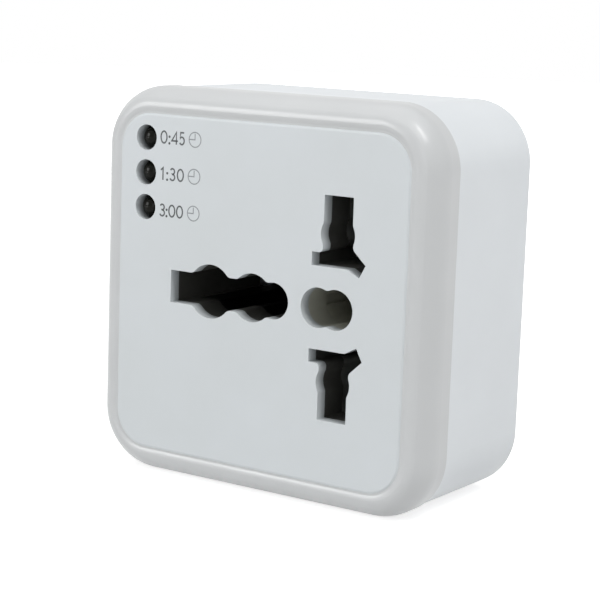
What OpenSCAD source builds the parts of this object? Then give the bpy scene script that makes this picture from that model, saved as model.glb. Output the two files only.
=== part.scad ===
// Plug-in timer switch: universal socket in front, plug pins behind, countdown relay inside.
// Millimetres. +Z up, +Y towards the wall. The origin is the centre of the rear face, which
// lies against the wall plate, so the socket face is at y = -case_depth.

/* [Case] */
// Width and height of the rear housing
case_w = 52.2; // [51.6:0.1:54]
// Depth from the socket face to the wall face
case_depth = 25.3; // [25.3:0.1:29]
// Radius of the housing's four corners
corner_r = 8.2; // [7.6:0.1:8.8]
// Thickness of the housing's side walls
wall_t = 1.8; // [1.4:0.1:2.0]
// Thickness of the wall that carries the plug pins
rear_t = 2.0; // [1.6:0.1:2.0]
// Radius of the edge round the rear face
rear_edge_r = 1.0; // [0.4:0.1:1.4]

/* [Bezel] */
// How far the bezel stands out beyond the housing on each side
bezel_step = 0.2; // [0:0.05:0.4]
// Depth of the bezel in front of the seam
bezel_depth = 6; // [5.2:0.1:6.4]
// Radius of the broad roll on the bezel's outside
roll_r = 4.5; // [4:0.1:5]
// Radius of the bezel's crest
crest_r = 1.7; // [1.4:0.05:2]
// Distance from the crest to the groove beside the socket face
flank_w = 0.8; // [0.4:0.1:1]
// Radius of the soft flank between them
flank_r = 1.5; // [1.2:0.1:3]
// Round on the bezel's edge at the seam
seam_edge_r = 0.3; // [0.1:0.1:0.6]
// Open seam between the bezel and the housing
seam_gap = 0.15; // [0.1:0.05:0.3]
// Thickness of the tongue that enters the housing
tongue_t = 1.2; // [0.9:0.1:1.3]
// Length of the tongue behind the seam
tongue_len = 2.4; // [1.8:0.1:2.4]
// Width of the ledge that carries the socket face
ledge_w = 1.1; // [0.7:0.1:1.2]
// Thickness of that ledge
ledge_t = 1.4; // [1:0.1:2]
// How far the ledge at least stands inside the tongue
ledge_inside = 1.2; // [0.8:0.1:1.2]

/* [Socket face] */
// Width and height of the socket face
panel_w = 45.6; // [45:0.1:45.8]
// Thickness of the socket face
panel_t = 1.75; // [1.4:0.05:2]
// Round on its front edge
panel_edge_r = 0.4; // [0.2:0.1:0.8]
// Groove between the socket face and the bezel
panel_gap = 0.06; // [0.04:0.02:0.3]
// Fixed pieces keep this far from each other where they seat
seat_gap = 0.05; // [0.02:0.01:0.1]

/* [Line slots] */
// Distance of the line pins' row from the centre of the face
line_x = 12.5; // [12.2:0.1:12.6]
// Distance between the centres of the flat line pins
flat_pitch = 22.2; // [22:0.1:22.4]
// Width of a flat line pin
flat_w = 6.35; // [6:0.05:6.5]
// Width of the slot across a flat line pin
flat_slot_t = 4.35; // [4.2:0.05:4.5]
// Space left at the end of a flat pin
flat_clear = 0.15; // [0.1:0.05:0.25]
// Distance between the centres of the round line pins
round_pitch = 19; // [18.8:0.1:19.2]
// Radius of the hole for a round line pin
round_r = 2.55; // [2.45:0.05:2.65]
// Distance between the centres of the thin blade slots
blade_pitch = 12.45; // [12.2:0.05:12.7]
// Width of a thin blade slot
blade_slot_t = 1.75; // [1.6:0.05:1.9]
// Reach of the blade slot from the pins' row towards the earth side
blade_reach = 3.8; // [3.5:0.1:4]
// Reach of the slanting foot's outer tip from the pins' row
foot_reach = 4.25; // [4:0.05:4.4]
// Height of the foot's outer tip above the centre line
foot_tip_z = 6.1; // [6:0.05:6.3]
// Width of the foot
foot_t = 1.9; // [1.7:0.05:2]
// Slant of the foot
foot_angle = 28; // [26:1:30]
// Slant of the flare above the foot
flare_angle = 43; // [40:1:46]
// Radius of the soft corners where the openings of a slot meet
meet_r = 0.9; // [0.7:0.05:1]
// Radius of the corner between the blade slot and the flat slot
blade_corner_r = 0.6; // [0.2:0.05:0.7]

/* [Earth slots] */
// Distance from the line pins' row to the flat earth pin
earth_pitch = 22.23; // [22.1:0.01:22.4]
// Width of the flat earth pin, along the slot
earth_w = 8; // [7.8:0.1:8]
// Height of the long earth slot
earth_slot_t = 4.35; // [4.25:0.05:4.5]
// Distance from the pins' row to the large round earth pin
lobe_a_pitch = 19.7; // [19.4:0.1:20]
// Radius of its hole
lobe_a_r = 3.6; // [3.4:0.05:3.7]
// Distance from the pins' row to the middle round earth pin
lobe_b_pitch = 12.95; // [12.7:0.05:13.2]
// Radius of its hole
lobe_b_r = 3.2; // [3:0.05:3.3]
// Distance from the pins' row to the small round earth pin
lobe_c_pitch = 9.6; // [9.4:0.1:9.8]
// Radius of its hole
lobe_c_r = 2.4; // [2.3:0.05:2.5]
// Offset of the second centre hole from the pins' row
centre_offset = 2.65; // [2.4:0.05:2.8]
// Radius of the two joined centre holes
centre_r = 2.6; // [2.5:0.05:2.7]

/* [Contacts] */
// Space between the line contacts' webs and the straps behind them
web_clear = 1.6; // [1.2:0.1:2]
// Depth at which the contact strips begin
contact_depth = 6; // [4.5:0.5:8]
// Thickness of the contact strip
strip_t = 0.5; // [0.4:0.05:0.6]
// Space between the strip and the edge of the slot
strip_clear = 0.1; // [0.05:0.05:0.15]
// Width of a contact's tab
tab_w = 2.4; // [2:0.1:3]
// Least wall of the insulating core round a slot
core_wall = 1.4; // [1:0.1:1.6]
// Margin of the core beyond the ends of the slots
core_margin = 2.2; // [1.8:0.1:2.4]

/* [Plug] */
// Distance between the plug's line pins
plug_pitch = 22.23; // [22.1:0.01:22.4]
// Distance from the line pins up to the plug's earth pin
plug_rise = 22.23; // [22.1:0.01:22.4]
// Height of the line pins below the centre of the case
plug_drop = 9; // [8.8:0.1:9.4]
// Width of a line pin
plug_line_w = 6.35; // [6.2:0.05:6.5]
// Thickness of a line pin
plug_line_t = 3.95; // [3.9:0.05:4.05]
// Length of a line pin from the wall face
plug_line_l = 17.7; // [17.2:0.1:18.2]
// Thickness of the earth pin, across
plug_earth_w = 4; // [3.9:0.05:4.05]
// Height of the earth pin
plug_earth_h = 7.95; // [7.8:0.05:8.05]
// Length of the earth pin from the wall face
plug_earth_l = 22.7; // [22.2:0.1:23.2]
// Slope at the tip of each pin
tip_bevel = 0.9; // [0.5:0.1:1.2]
// Thickness of the insulating sleeve on a line pin
sleeve_t = 0.4; // [0.3:0.05:0.5]
// Length of the sleeve from the wall face
sleeve_l = 9.5; // [9:0.1:10]
// Thickness of the pins' heads inside the case
head_t = 1.6; // [1.2:0.1:1.6]
// Rim of a head round its pin
head_rim = 1; // [0.8:0.1:1.2]

/* [Indicator lamps] */
// Distance of the lamps from the inside of the bezel's ledge
led_side = 3.37; // [3.2:0.05:3.6]
// Distance of the top lamp below the ledge
led_drop = 2.27; // [2.2:0.05:2.6]
// Spacing of the lamps
led_pitch = 4.65; // [4.4:0.05:4.8]
// Radius of a lamp
led_r = 1.5; // [1.4:0.05:1.5]
// Radius of the hole in front of a lamp
led_hole_r = 1.7; // [1.6:0.05:1.8]
// Depth of a lamp's tip behind the face
led_recess = 0.3; // [0.2:0.1:1.8]
// Height of a lamp without its legs
led_h = 5.3; // [5:0.1:5.4]
// Rim at a lamp's foot
led_rim = 0.4; // [0.3:0.05:0.45]

/* [Circuit board] */
// Thickness of the board
board_t = 1.6; // [1.2:0.1:1.6]
// Least space round the board
board_clear = 0.6; // [0.4:0.1:0.8]
// Space between the relay and the side of the housing
relay_side = 6.15; // [6:0.05:7]
// Space between the relay and the top of the housing
relay_top = 1.4; // [1.3:0.1:2]
// Space between the relay and the heads of the plug pins
relay_rear = 0.7; // [0.6:0.1:1]
// Wall of the relay's cover
relay_wall = 0.8; // [0.6:0.1:0.9]
// Turn of the relay's armature from open to closed
armature_turn = 3.5; // [2:0.5:4]
// Radius of the electrolytic capacitor
can_r = 4; // [3.5:0.1:4]
// Space behind the electrolytic capacitor
can_rear = 1.55; // [1:0.05:3]
// Length of the mains capacitor
film_l = 13; // [11:0.5:13]
// Space between the two capacitors
film_side = 2.2; // [1.8:0.1:3]
// Space behind the mains capacitor
film_rear = 1.05; // [0.8:0.05:2]
// Space behind the varistor
varistor_rear = 2.35; // [2:0.05:4]
// Radius of the insulated leads
lead_r = 0.5; // [0.4:0.05:0.55]

/* [Timer button] */
// Radius of the button
button_r = 3.1; // [2.8:0.1:3.1]
// How far the button stands out
button_out = 0.8; // [0.7:0.1:1.2]
// Travel of the button
button_travel = 0.5; // [0.3:0.05:0.5]
// Rim that keeps the button in the case
button_rim = 0.5; // [0.4:0.1:0.5]
// Space round the moving pieces
run_gap = 0.15; // [0.1:0.05:0.2]
// Height of the push switch on the board
switch_h = 4.3; // [4.3:0.1:4.6]
// Space between the push switch and the socket core
switch_back = 1.8; // [1.3:0.1:2.3]
// Width of the push switch
switch_w = 6; // [5.5:0.1:6.5]
// Radius of the push switch's plunger
plunger_r = 1; // [0.8:0.1:1.2]

/* [Screws] */
// Distance of each screw outside its corner's centre
screw_offset = 2.8; // [2.6:0.1:2.9]
// Radius of the screw
screw_r = 1.1; // [0.9:0.05:1.2]
// Radius of its head
screw_head_r = 2; // [1.8:0.1:2.1]
// Height of its head
screw_head_h = 1.6; // [1.2:0.1:1.8]
// Depth of its head below the wall face
screw_sink = 2; // [1.6:0.1:2.4]
// Solid left in front of a screw's tip
screw_floor = 3.4; // [2.6:0.1:5]

/* [Hidden] */
$fn = 48;
eps = 0.01;
meet_lap = 0.001;
slice_lap = 6;

// The casing
half = case_w / 2;
corner_c = half - corner_r;
y_face = -case_depth;
y_seam = y_face + bezel_depth;
y_inner = -rear_t;
bezel_r = corner_r + bezel_step;
panel_r = panel_w / 2 - corner_c;
pocket_r = panel_r + panel_gap;
cavity_r = corner_r - wall_t;
tongue_r = cavity_r - seat_gap;
tongue_in = tongue_r - tongue_t;
ledge_in = min(pocket_r - ledge_w, tongue_in - ledge_inside);
crest_x = pocket_r + flank_w;
crest_side = min(crest_x - bezel_r + roll_r, 0.95 * (roll_r - crest_r));
crest_rise = sqrt(pow(roll_r - crest_r, 2) - pow(crest_side, 2));
crest_turn = atan2(crest_rise, crest_side);
roll_x = crest_x - crest_side;
roll_y = y_face + crest_r + crest_rise;
y_ledge = y_face + panel_t + seat_gap;
y_tongue = y_seam + tongue_len;

// Heights of the slots in the socket face
foot_l = 3.4;
flare_t = 1.2;
flare_l = 3.2;
flat_top_z = flat_pitch / 2 + flat_w / 2 + flat_clear;
blade_low_z = blade_pitch / 2 - blade_slot_t / 2;
earth_end_x = line_x - earth_pitch - earth_w / 2 - seat_gap;
flat_low_z = blade_low_z + blade_slot_t / 2;
blade_top_z = blade_low_z + blade_slot_t;
foot_join = (blade_low_z - foot_tip_z + foot_t * cos(foot_angle)) / sin(foot_angle);
blade_end_x = line_x + foot_reach - foot_t * sin(foot_angle) - foot_join * cos(foot_angle);
strip_out = strip_clear + strip_t;
well_out = strip_out + strip_clear;

// Straps and tabs behind the contacts
earth_tab_w = 4;
earth_tab_l = 2.5;
earth_strap_w = 3.6;
neutral_strap_w = 2.4;
neutral_bar_w = 3;

// Layers behind the socket face, from the wall side forwards
y_head = y_inner - head_t;
y_strap = y_head - strip_t;
y_core_rear = y_head - 2 * lead_r - 3 * seat_gap;
y_web = y_strap - web_clear - strip_t;
y_earth_web = y_inner - seat_gap - strip_t;
y_board = y_tongue + strip_clear;
y_board_rear = y_board + board_t;

// The insulating core round the slots
core_x0 = line_x - blade_reach - core_margin;
core_x1 = line_x + foot_reach + core_margin + seat_gap;
core_z = flat_top_z + core_margin + strip_t;
arm_x0 = earth_end_x - core_margin;
arm_z = lobe_a_r + well_out + core_wall;
core_corner_r = 1.2;
core_foot_r = 1.2;
core_foot_in = 0.3;
web_z = arm_z - core_wall;
zone = 20;
contact_rise = 1;
contact_end = 0.6;
contact_open = 1.3;

// The board and what stands on it
board_r = cavity_r - board_clear;
board_half = corner_c + board_r;
board_x1 = core_x0 - board_clear;
notch_z = arm_z + board_clear;
relay_x0 = relay_side + wall_t - half;
relay_x1 = board_x1 - 4 * lead_r - seat_gap;
relay_z0 = notch_z + board_clear;
relay_z1 = half - wall_t - relay_top;
relay_z = (relay_z0 + relay_z1) / 2;
y_relay = y_board_rear + seat_gap;
y_relay_rear = y_head - relay_rear;
relay_base_t = 1.6;
rail_gap = 0.3;
rail_t = 0.6;
rail_h = 1.5;
rail_inset = 3;
yoke_t = 0.8;
coil_gap = 0.2;
cover_gap = 0.1;
flange_t = 0.8;
flange_half = (y_relay_rear - relay_wall - cover_gap - yoke_t - coil_gap - y_board_rear - relay_base_t) / 2;
coil_r = flange_half - 0.4;
pole_r = flange_half - 1.1;
coil_core_r = 1.4;
y_coil = y_board_rear + relay_base_t + flange_half;
y_yoke = y_coil + flange_half + coil_gap;
coil_x0 = relay_x0 + relay_wall + 1.4;
pole_x = relay_x1 - 6.9;
pole_t = 0.8;
armature_t = 0.8;
armature_half = flange_half - 0.2;
pivot_gap = 0.3;
closed_gap = 0.36;
y_pivot = y_yoke - pivot_gap - armature_t / 2;
pole_gap = closed_gap + (y_pivot - y_coil + pole_r) * tan(armature_turn);
armature_x = pole_x + pole_gap;
leaf_t = 0.3;
leaf_half = 1.1;
relay_contact_r = 0.9;
relay_contact_t = 0.6;
relay_contact_z = relay_z1 - relay_wall - 1.6;
y_relay_contact = y_board_rear + relay_base_t + 2.1;
can_x = board_x1 - 1.4 - can_r;
can_z = -notch_z - board_clear - can_r;
can_h = y_head - can_rear - y_board_rear - seat_gap;
film_x1 = board_x1 - 6.4;
film_z0 = -board_half + board_clear;
film_z1 = can_z - can_r - film_side;
film_h = y_head - film_rear - y_board_rear - seat_gap;
chip_w = 3.9;
chip_l = 4.9;
chip_t = 1.45;
chip_leg_l = 1.05;
chip_leg_w = 0.4;
chip_leg_pitch = 1.27;
chip_lift = 0.15;
chip_x = -board_half + 0.4 + chip_leg_l + chip_w / 2;
chip_z = -notch_z - 5.2;
fuse_r = 1.6;
fuse_l = 7.4;
fuse_x = chip_x + chip_w / 2 + chip_leg_l + 1.7 + fuse_r;
fuse_z = -notch_z - 5;
fuse_lift = 0.4;
varistor_t = 3.2;
varistor_lift = 1.5;
varistor_r = (y_strap - varistor_rear - y_board_rear - seat_gap - varistor_lift) / 2;
varistor_x = fuse_x + fuse_r + 2.8 + varistor_t / 2;
varistor_z = -notch_z - 5;
part_leg_r = 0.35;
lead_x = board_x1 - lead_r;
live_lead_z = -plug_drop - plug_line_t / 2;
neutral_lead_z = -core_z + strip_t;

// The button and its switch, on the hidden side of the case
y_button = y_board_rear + switch_h / 2;
wall_in_x = -(half - wall_t);
rim_t = 0.8;
rim_x = wall_in_x + run_gap;
stem_l = 0.8;
stem_rim = 0.3;
button_edge_r = 0.4;
dish_r = 14;
dish_depth = 0.25;
plunger_out = 1.3;
plunger_tip_x = rim_x + rim_t + stem_l;
switch_x = plunger_tip_x + plunger_out;
plunger_in = 1.2;
switch_x1 = arm_x0 - switch_back;
switch_edge = 0.4;

// The screws: three corners have one, the lamps fill the fourth
screw_c = corner_c + screw_offset;
SCREWS = [[screw_c, screw_c], [screw_c, -screw_c], [-screw_c, -screw_c]];
column_r = screw_head_r + 1;
screw_tip_gap = 0.5;
boss_r = screw_r + 1.1;
y_screw_seat = -screw_sink - screw_head_h;
screw_l = y_screw_seat - y_ledge - screw_floor;
screw_clear = 0.25;
slot_w = 0.6;
rib_t = 1.2;
rib_reach = board_clear + 0.6;
rib_low = corner_c - 1.4;
rib_high = corner_c - 6.9;
rib_mid_x = 1.5;

// Lamps: distance left of the centre, and height of the top one
led_x = corner_c + ledge_in - led_side;
led_top_z = corner_c + ledge_in - led_drop;
led_flange_t = 1;
led_leg_t = 0.5;
led_leg_out = 0.9;

// Plug pins: [x, z] of each
live_at = [plug_pitch / 2, -plug_drop];
neutral_at = [-plug_pitch / 2, -plug_drop];
earth_at = [0, plug_rise - plug_drop];

// ---------------------------------------------------------------- helpers

// A flat shape drawn in x and z, as thick as from y0 to y1
module slab(y0, y1) {
    translate([0, y1, 0]) rotate([90, 0, 0]) linear_extrude(y1 - y0) children();
}

// A revolved shape whose axis runs along +Y from the point [x, y, z]
module turned(at) {
    translate(at) rotate([-90, 0, 0]) children();
}

// A square with round corners, drawn about its centre
module round_square(h, r) {
    square([2 * h, 2 * (h - r)], center = true);
    square([2 * (h - r), 2 * h], center = true);
    for (sx = [-1, 1], sz = [-1, 1]) translate([sx * (h - r), sz * (h - r)]) circle(r);
}

// A rectangle with round corners between two opposite corner points
module round_rect(p0, p1, r) {
    translate([p0[0] + r, p0[1]]) square([p1[0] - p0[0] - 2 * r, p1[1] - p0[1]]);
    translate([p0[0], p0[1] + r]) square([p1[0] - p0[0], p1[1] - p0[1] - 2 * r]);
    for (x = [p0[0] + r, p1[0] - r], z = [p0[1] + r, p1[1] - r]) translate([x, z]) circle(r);
}

// What to cut away to round the corner at p, whose outside lies towards [sx, sy]
module round_off(p, r, sx, sy) {
    translate(p) difference() {
        translate([-sx * r / 2, -sy * r / 2]) square(r, center = true);
        translate([-sx * r, -sy * r]) circle(r);
    }
}

// A slice of a disc between two directions, turned from +x towards -y
module slice(at, r, from, to) {
    middle = (from + to) / 2;
    translate(at) intersection() {
        circle(r);
        polygon(concat([[0, 0]], [for (a = [from, middle, to]) 2 * r * [cos(a), -sin(a)]]));
    }
}

// The soft corner where two openings meet: a disc of radius r at the point p, touching both,
// cuts back what lies between p and the openings' own points a and b
module meeting(a, b, p, r) {
    difference() {
        polygon([a, p, b]);
        translate(p) circle(r + meet_lap);
    }
}

// A profile of [distance from the corner's centre, y], carried once round the case
module carried_round() {
    for (q = [0:3]) rotate([0, 90 * q, 0]) translate([corner_c, 0, -corner_c]) {
        linear_extrude(2 * corner_c) children();
        rotate([-90, 0, 0]) rotate_extrude(angle = 90) children();
    }
}

// A bar with a bevelled far end, from y0 to y1, centred on [x, z]
module bevelled_bar(at, w, h, y0, y1) {
    b = tip_bevel;
    translate([at[0], 0, at[1]]) intersection() {
        translate([0, 0, -h / 2]) linear_extrude(h)
            polygon([[-w / 2, y0], [w / 2, y0], [w / 2, y1 - b], [w / 2 - b, y1],
                [b - w / 2, y1], [-w / 2, y1 - b]]);
        rotate([90, 0, 90]) translate([0, 0, -w / 2]) linear_extrude(w)
            polygon([[y0, -h / 2], [y0, h / 2], [y1 - b, h / 2], [y1, h / 2 - b],
                [y1, b - h / 2], [y1 - b, -h / 2]]);
    }
}

// A box from one corner to the opposite one
module box(p0, p1) {
    translate(p0) cube(p1 - p0);
}

// A round wire through the points given
module wire(points, r) {
    for (i = [0:len(points) - 2]) {
        run = points[i + 1] - points[i];
        translate(points[i]) rotate([0, acos(run[2] / norm(run)), atan2(run[1], run[0])])
            cylinder(norm(run), r, r);
        if (i > 0) translate(points[i]) sphere(r);
    }
}

// ---------------------------------------------------------------- slots of the socket face

// One arm of the slanting foot: a bar that ends at the foot's outer tip
module foot_arm(angle, width, length, grow) {
    translate([line_x + foot_reach, foot_tip_z]) rotate(-angle)
        translate([-length - grow, -width - grow]) square([length + 2 * grow, width + 2 * grow]);
}

// The upper line slot: flat pin, round pin, thin blade and slanting blade in one opening
module line_slot(grow = 0) {
    side = flat_slot_t / 2;
    bulge = [line_x, round_pitch / 2];
    translate([line_x - side - grow, flat_low_z - grow])
        square([flat_slot_t + 2 * grow, flat_top_z - flat_low_z + 2 * grow]);
    translate(bulge) circle(round_r + grow);
    translate([line_x - blade_reach - grow, blade_low_z - grow])
        square([blade_end_x - line_x + blade_reach + grow, blade_slot_t + 2 * grow]);
    foot_arm(foot_angle, foot_t, foot_l, grow);
    foot_arm(flare_angle, flare_t, flare_l, grow);
    for (sx = [-1, 1], sz = [-1, 1]) if (sx < 0 || sz > 0)
        line_meeting(bulge, round_r, side, sx, sz, grow);
    flare_meeting(bulge, grow);
    if (grow < blade_corner_r)
        round_off([line_x - side - grow, blade_top_z + grow], blade_corner_r - grow, 1, -1);
}

// Soft corner between a round hole and a straight slot that runs up and down through it
module line_meeting(hole, r, side, sx, sz, grow) {
    out = side + meet_r;
    along = sqrt(pow(r + meet_r, 2) - out * out);
    at = hole + [sx * out, sz * along];
    if (grow < meet_r) meeting(hole, [hole[0], at[1]], at, meet_r - grow);
}

// Soft corner between the round pin's hole and the flare of the foot
module flare_meeting(hole, grow) {
    back = [-cos(flare_angle), sin(flare_angle)];
    up = [sin(flare_angle), cos(flare_angle)];
    start = [line_x + foot_reach, foot_tip_z] + meet_r * up - hole;
    near = -start * back;
    run = near - sqrt(near * near - start * start + pow(round_r + meet_r, 2));
    at = hole + start + run * back;
    if (grow < meet_r) meeting(hole, at - (meet_r + flare_t / 2) * up, at, meet_r - grow);
}

// Soft corners where two round holes overlap, above and below the line through them
module hole_meetings(x0, r0, x1, r1, grow) {
    apart = x1 - x0;
    along = (pow(r0 + meet_r, 2) - pow(r1 + meet_r, 2) + apart * apart) / (2 * apart);
    out = sqrt(pow(r0 + meet_r, 2) - along * along);
    for (s = [-1, 1]) if (grow < meet_r)
        meeting([x0, 0], [x1, 0], [x0 + along, s * out], meet_r - grow);
}

// Soft corners between a round hole and the earth slot, on the side sx
module earth_meetings(x, r, sx, grow) {
    out = earth_slot_t / 2 + meet_r;
    along = sqrt(pow(r + meet_r, 2) - out * out);
    for (s = [-1, 1]) if (grow < meet_r)
        meeting([x, 0], [x + sx * along, 0], [x + sx * along, s * out], meet_r - grow);
}

// The long earth slot, with a round hole for each round earth pin
module earth_slot(grow = 0) {
    a = line_x - lobe_a_pitch;
    b = line_x - lobe_b_pitch;
    c = line_x - lobe_c_pitch;
    translate([earth_end_x - grow, -earth_slot_t / 2 - grow])
        square([c - earth_end_x + grow, earth_slot_t + 2 * grow]);
    translate([a, 0]) circle(lobe_a_r + grow);
    translate([b, 0]) circle(lobe_b_r + grow);
    translate([c, 0]) circle(lobe_c_r + grow);
    for (sx = [-1, 1]) earth_meetings(a, lobe_a_r, sx, grow);
    earth_meetings(b, lobe_b_r, -1, grow);
    hole_meetings(b, lobe_b_r, c, lobe_c_r, grow);
}

// The two joined round holes between the line slots
module centre_slot(grow = 0) {
    translate([line_x, 0]) circle(centre_r + grow);
    translate([line_x - centre_offset, 0]) circle(centre_r + grow);
    hole_meetings(line_x - centre_offset, centre_r, line_x, centre_r, grow);
}

module both_lines() {
    children();
    mirror([0, 1]) children();
}

module all_slots() {
    both_lines() line_slot();
    earth_slot();
    centre_slot();
}

// ---------------------------------------------------------------- casing

module front_panel() {
    color("gainsboro") difference() {
        union() {
            slab(y_face + panel_edge_r, y_face + panel_t) round_square(panel_w / 2, panel_r);
            slab(y_face, y_face + panel_edge_r)
                round_square(panel_w / 2 - panel_edge_r, panel_r - panel_edge_r);
            carried_round() difference() {
                translate([panel_r - panel_edge_r, y_face]) square(panel_edge_r);
                round_off([panel_r, y_face], panel_edge_r, 1, -1);
            }
        }
        slab(y_face - 1, y_face + panel_t + 1) all_slots();
        for (i = [0:2]) turned([-led_x, y_face - 1, led_top_z - i * led_pitch])
            cylinder(panel_t + 2, led_hole_r, led_hole_r);
    }
}

// Front of the bezel: a broad roll outside, a crest, and a soft flank down to the socket face
module bezel_front() {
    slice([roll_x, roll_y], roll_r, 0, crest_turn);
    slice([crest_x, y_face + crest_r + meet_lap], crest_r + meet_lap, crest_turn - slice_lap, 90);
    slice([crest_x, y_face + flank_r], flank_r, 90, 180);
    translate([pocket_r, y_face + flank_r]) square([crest_x - pocket_r, bezel_depth]);
    translate([roll_x, roll_y]) square([roll_r, bezel_depth]);
}

// Section of the bezel: front, ledge for the socket face, tongue into the housing
module bezel_section() {
    difference() {
        intersection() {
            translate([pocket_r, y_face]) square([bezel_r - pocket_r, bezel_depth]);
            bezel_front();
        }
        round_off([bezel_r, y_seam], seam_edge_r, 1, 1);
    }
    translate([ledge_in, y_ledge]) square([max(pocket_r, tongue_in) + eps - ledge_in, ledge_t]);
    translate([tongue_in, y_ledge]) square([tongue_t, y_tongue - y_ledge]);
}

module bezel_ring() {
    color("silver") difference() {
        union() {
            carried_round() bezel_section();
            for (p = SCREWS) turned([p[0], y_ledge, p[1]])
                cylinder((p[0] > 0 ? y_board_rear : y_board) - y_ledge - seat_gap, boss_r, boss_r);
        }
        for (p = SCREWS) turned([p[0], y_screw_seat - screw_l - screw_tip_gap, p[1]])
            cylinder(screw_l, screw_r + seat_gap, screw_r + seat_gap);
    }
}

// Section of the housing's side wall, with its rounded rear edge
module housing_section() {
    difference() {
        translate([cavity_r, y_seam + seam_gap]) square([wall_t, -y_seam - seam_gap]);
        round_off([corner_r, 0], rear_edge_r, 1, 1);
    }
}

// Ribs that hold the board down: one pair on the left, two pairs above and below
module housing_ribs() {
    y0 = y_board_rear + seat_gap;
    y1 = y_inner + rear_t / 4;
    root = half - wall_t / 2;
    reach = half - wall_t - rib_reach;
    for (z = [rib_high, -rib_low]) box([-root, y0, z], [-reach, y1, z + rib_t]);
    for (x = [-rib_low, rib_mid_x]) {
        box([x, y0, reach], [x + rib_t, y1, root]);
        box([x, y0, -root], [x + rib_t, y1, -reach]);
    }
}

module rear_housing() {
    color("whitesmoke") difference() {
        union() {
            carried_round() housing_section();
            slab(y_inner, 0) round_square(half - wall_t, cavity_r);
            for (p = SCREWS) intersection() {
                turned([p[0], y_board_rear + seat_gap, p[1]])
                    cylinder(-y_board_rear - seat_gap - rear_t / 4, column_r, column_r);
                slab(y_seam, -rear_t / 4) round_square(half - wall_t / 2, corner_r - wall_t / 2);
            }
            housing_ribs();
        }
        for (p = SCREWS) {
            turned([p[0], y_face, p[1]])
                cylinder(case_depth + 1, screw_r + screw_clear, screw_r + screw_clear);
            turned([p[0], y_screw_seat, p[1]])
                cylinder(1 - y_screw_seat, screw_head_r + screw_clear, screw_head_r + screw_clear);
        }
        for (at = [live_at, neutral_at]) translate([at[0], 0, at[1]])
            cube([plug_line_w + 2 * strip_clear, 3 * rear_t, plug_line_t + 2 * strip_clear], center = true);
        translate([earth_at[0], 0, earth_at[1]])
            cube([plug_earth_w + 2 * strip_clear, 3 * rear_t, plug_earth_h + 2 * strip_clear],
                center = true);
        translate([-half - 1, y_button, 0]) rotate([0, 90, 0])
            cylinder(wall_t + 2, button_r + run_gap, button_r + run_gap);
    }
}

module case_screws() {
    color("lightslategray") for (p = SCREWS) difference() {
        union() {
            turned([p[0], y_screw_seat - screw_l, p[1]]) cylinder(screw_l + eps, screw_r, screw_r);
            turned([p[0], y_screw_seat, p[1]]) cylinder(screw_head_h, screw_head_r, screw_head_r);
        }
        for (a = [0, 90]) translate([p[0], y_screw_seat + screw_head_h, p[1]]) rotate([0, a, 0])
            cube([2 * (screw_head_r - slot_w), screw_head_h, slot_w], center = true);
    }
}

// ---------------------------------------------------------------- socket

module core_outline() {
    round_rect([core_x0, -core_z], [core_x1, core_z], core_corner_r);
    round_rect([arm_x0, -arm_z], [core_x0 + 2 * core_corner_r, arm_z], core_corner_r);
}

// Where the line contact's strips run: beside the flat and the round pin
module line_contact_zone(out) {
    translate([line_x - zone, flat_low_z + contact_rise - out]) square([2 * zone, 2 * zone]);
}

module earth_contact_zone(out) {
    translate([earth_end_x + contact_end - out, -zone])
        square([line_x - lobe_c_pitch + 0.5 - earth_end_x + 2 * out, 2 * zone]);
}

module socket_core() {
    foot_in = core_foot_r + core_foot_in;
    feet = [[core_x1 - foot_in, flat_top_z - foot_in], [core_x1 - foot_in, foot_in - flat_top_z],
        [arm_x0 + core_foot_r + seat_gap, arm_z - core_foot_r - seat_gap]];
    color("dimgray") difference() {
        union() {
            slab(y_ledge, y_core_rear) core_outline();
            for (p = feet) turned([p[0], y_core_rear - 1, p[1]])
                cylinder(y_inner - seat_gap - y_core_rear + 1, core_foot_r, core_foot_r);
        }
        slab(y_face, 1) all_slots();
        slab(y_face + contact_depth - strip_clear, 1) {
            both_lines() intersection() {
                line_slot(well_out);
                line_contact_zone(strip_clear);
            }
            intersection() {
                earth_slot(well_out);
                earth_contact_zone(strip_clear);
            }
            centre_slot(well_out);
        }
        slab(y_web - strip_clear, 1) both_lines()
            translate([line_x - tab_w / 2 - strip_clear, round_pitch / 2])
                square([tab_w + 2 * strip_clear, core_z]);
    }
}

// Sleeve of sheet metal that follows a slot's outline, one strip thick
module strip_round() {
    difference() {
        children(0);
        children(1);
    }
}

module line_contact() {
    slab(y_face + contact_depth, y_web + eps) intersection() {
        strip_round() {
            line_slot(strip_out);
            line_slot(strip_clear);
        }
        line_contact_zone(0);
        union() {
            translate([line_x - zone, 0]) square([zone - contact_open, 2 * zone]);
            translate([line_x + contact_open, 0]) square([zone - contact_open, 2 * zone]);
        }
    }
    slab(y_web, y_web + strip_t) {
        intersection() {
            line_slot(strip_out);
            line_contact_zone(0);
        }
        translate([line_x - tab_w / 2, round_pitch / 2])
            square([tab_w, core_z + strip_clear + strip_t - round_pitch / 2]);
    }
    box([line_x - tab_w / 2, y_web, core_z + strip_clear],
        [line_x + tab_w / 2, y_strap, core_z + strip_clear + strip_t]);
}

module live_contact() {
    color("lightslategray") line_contact();
}

module neutral_contact() {
    color("lightslategray") mirror([0, 0, 1]) line_contact();
}

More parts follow.
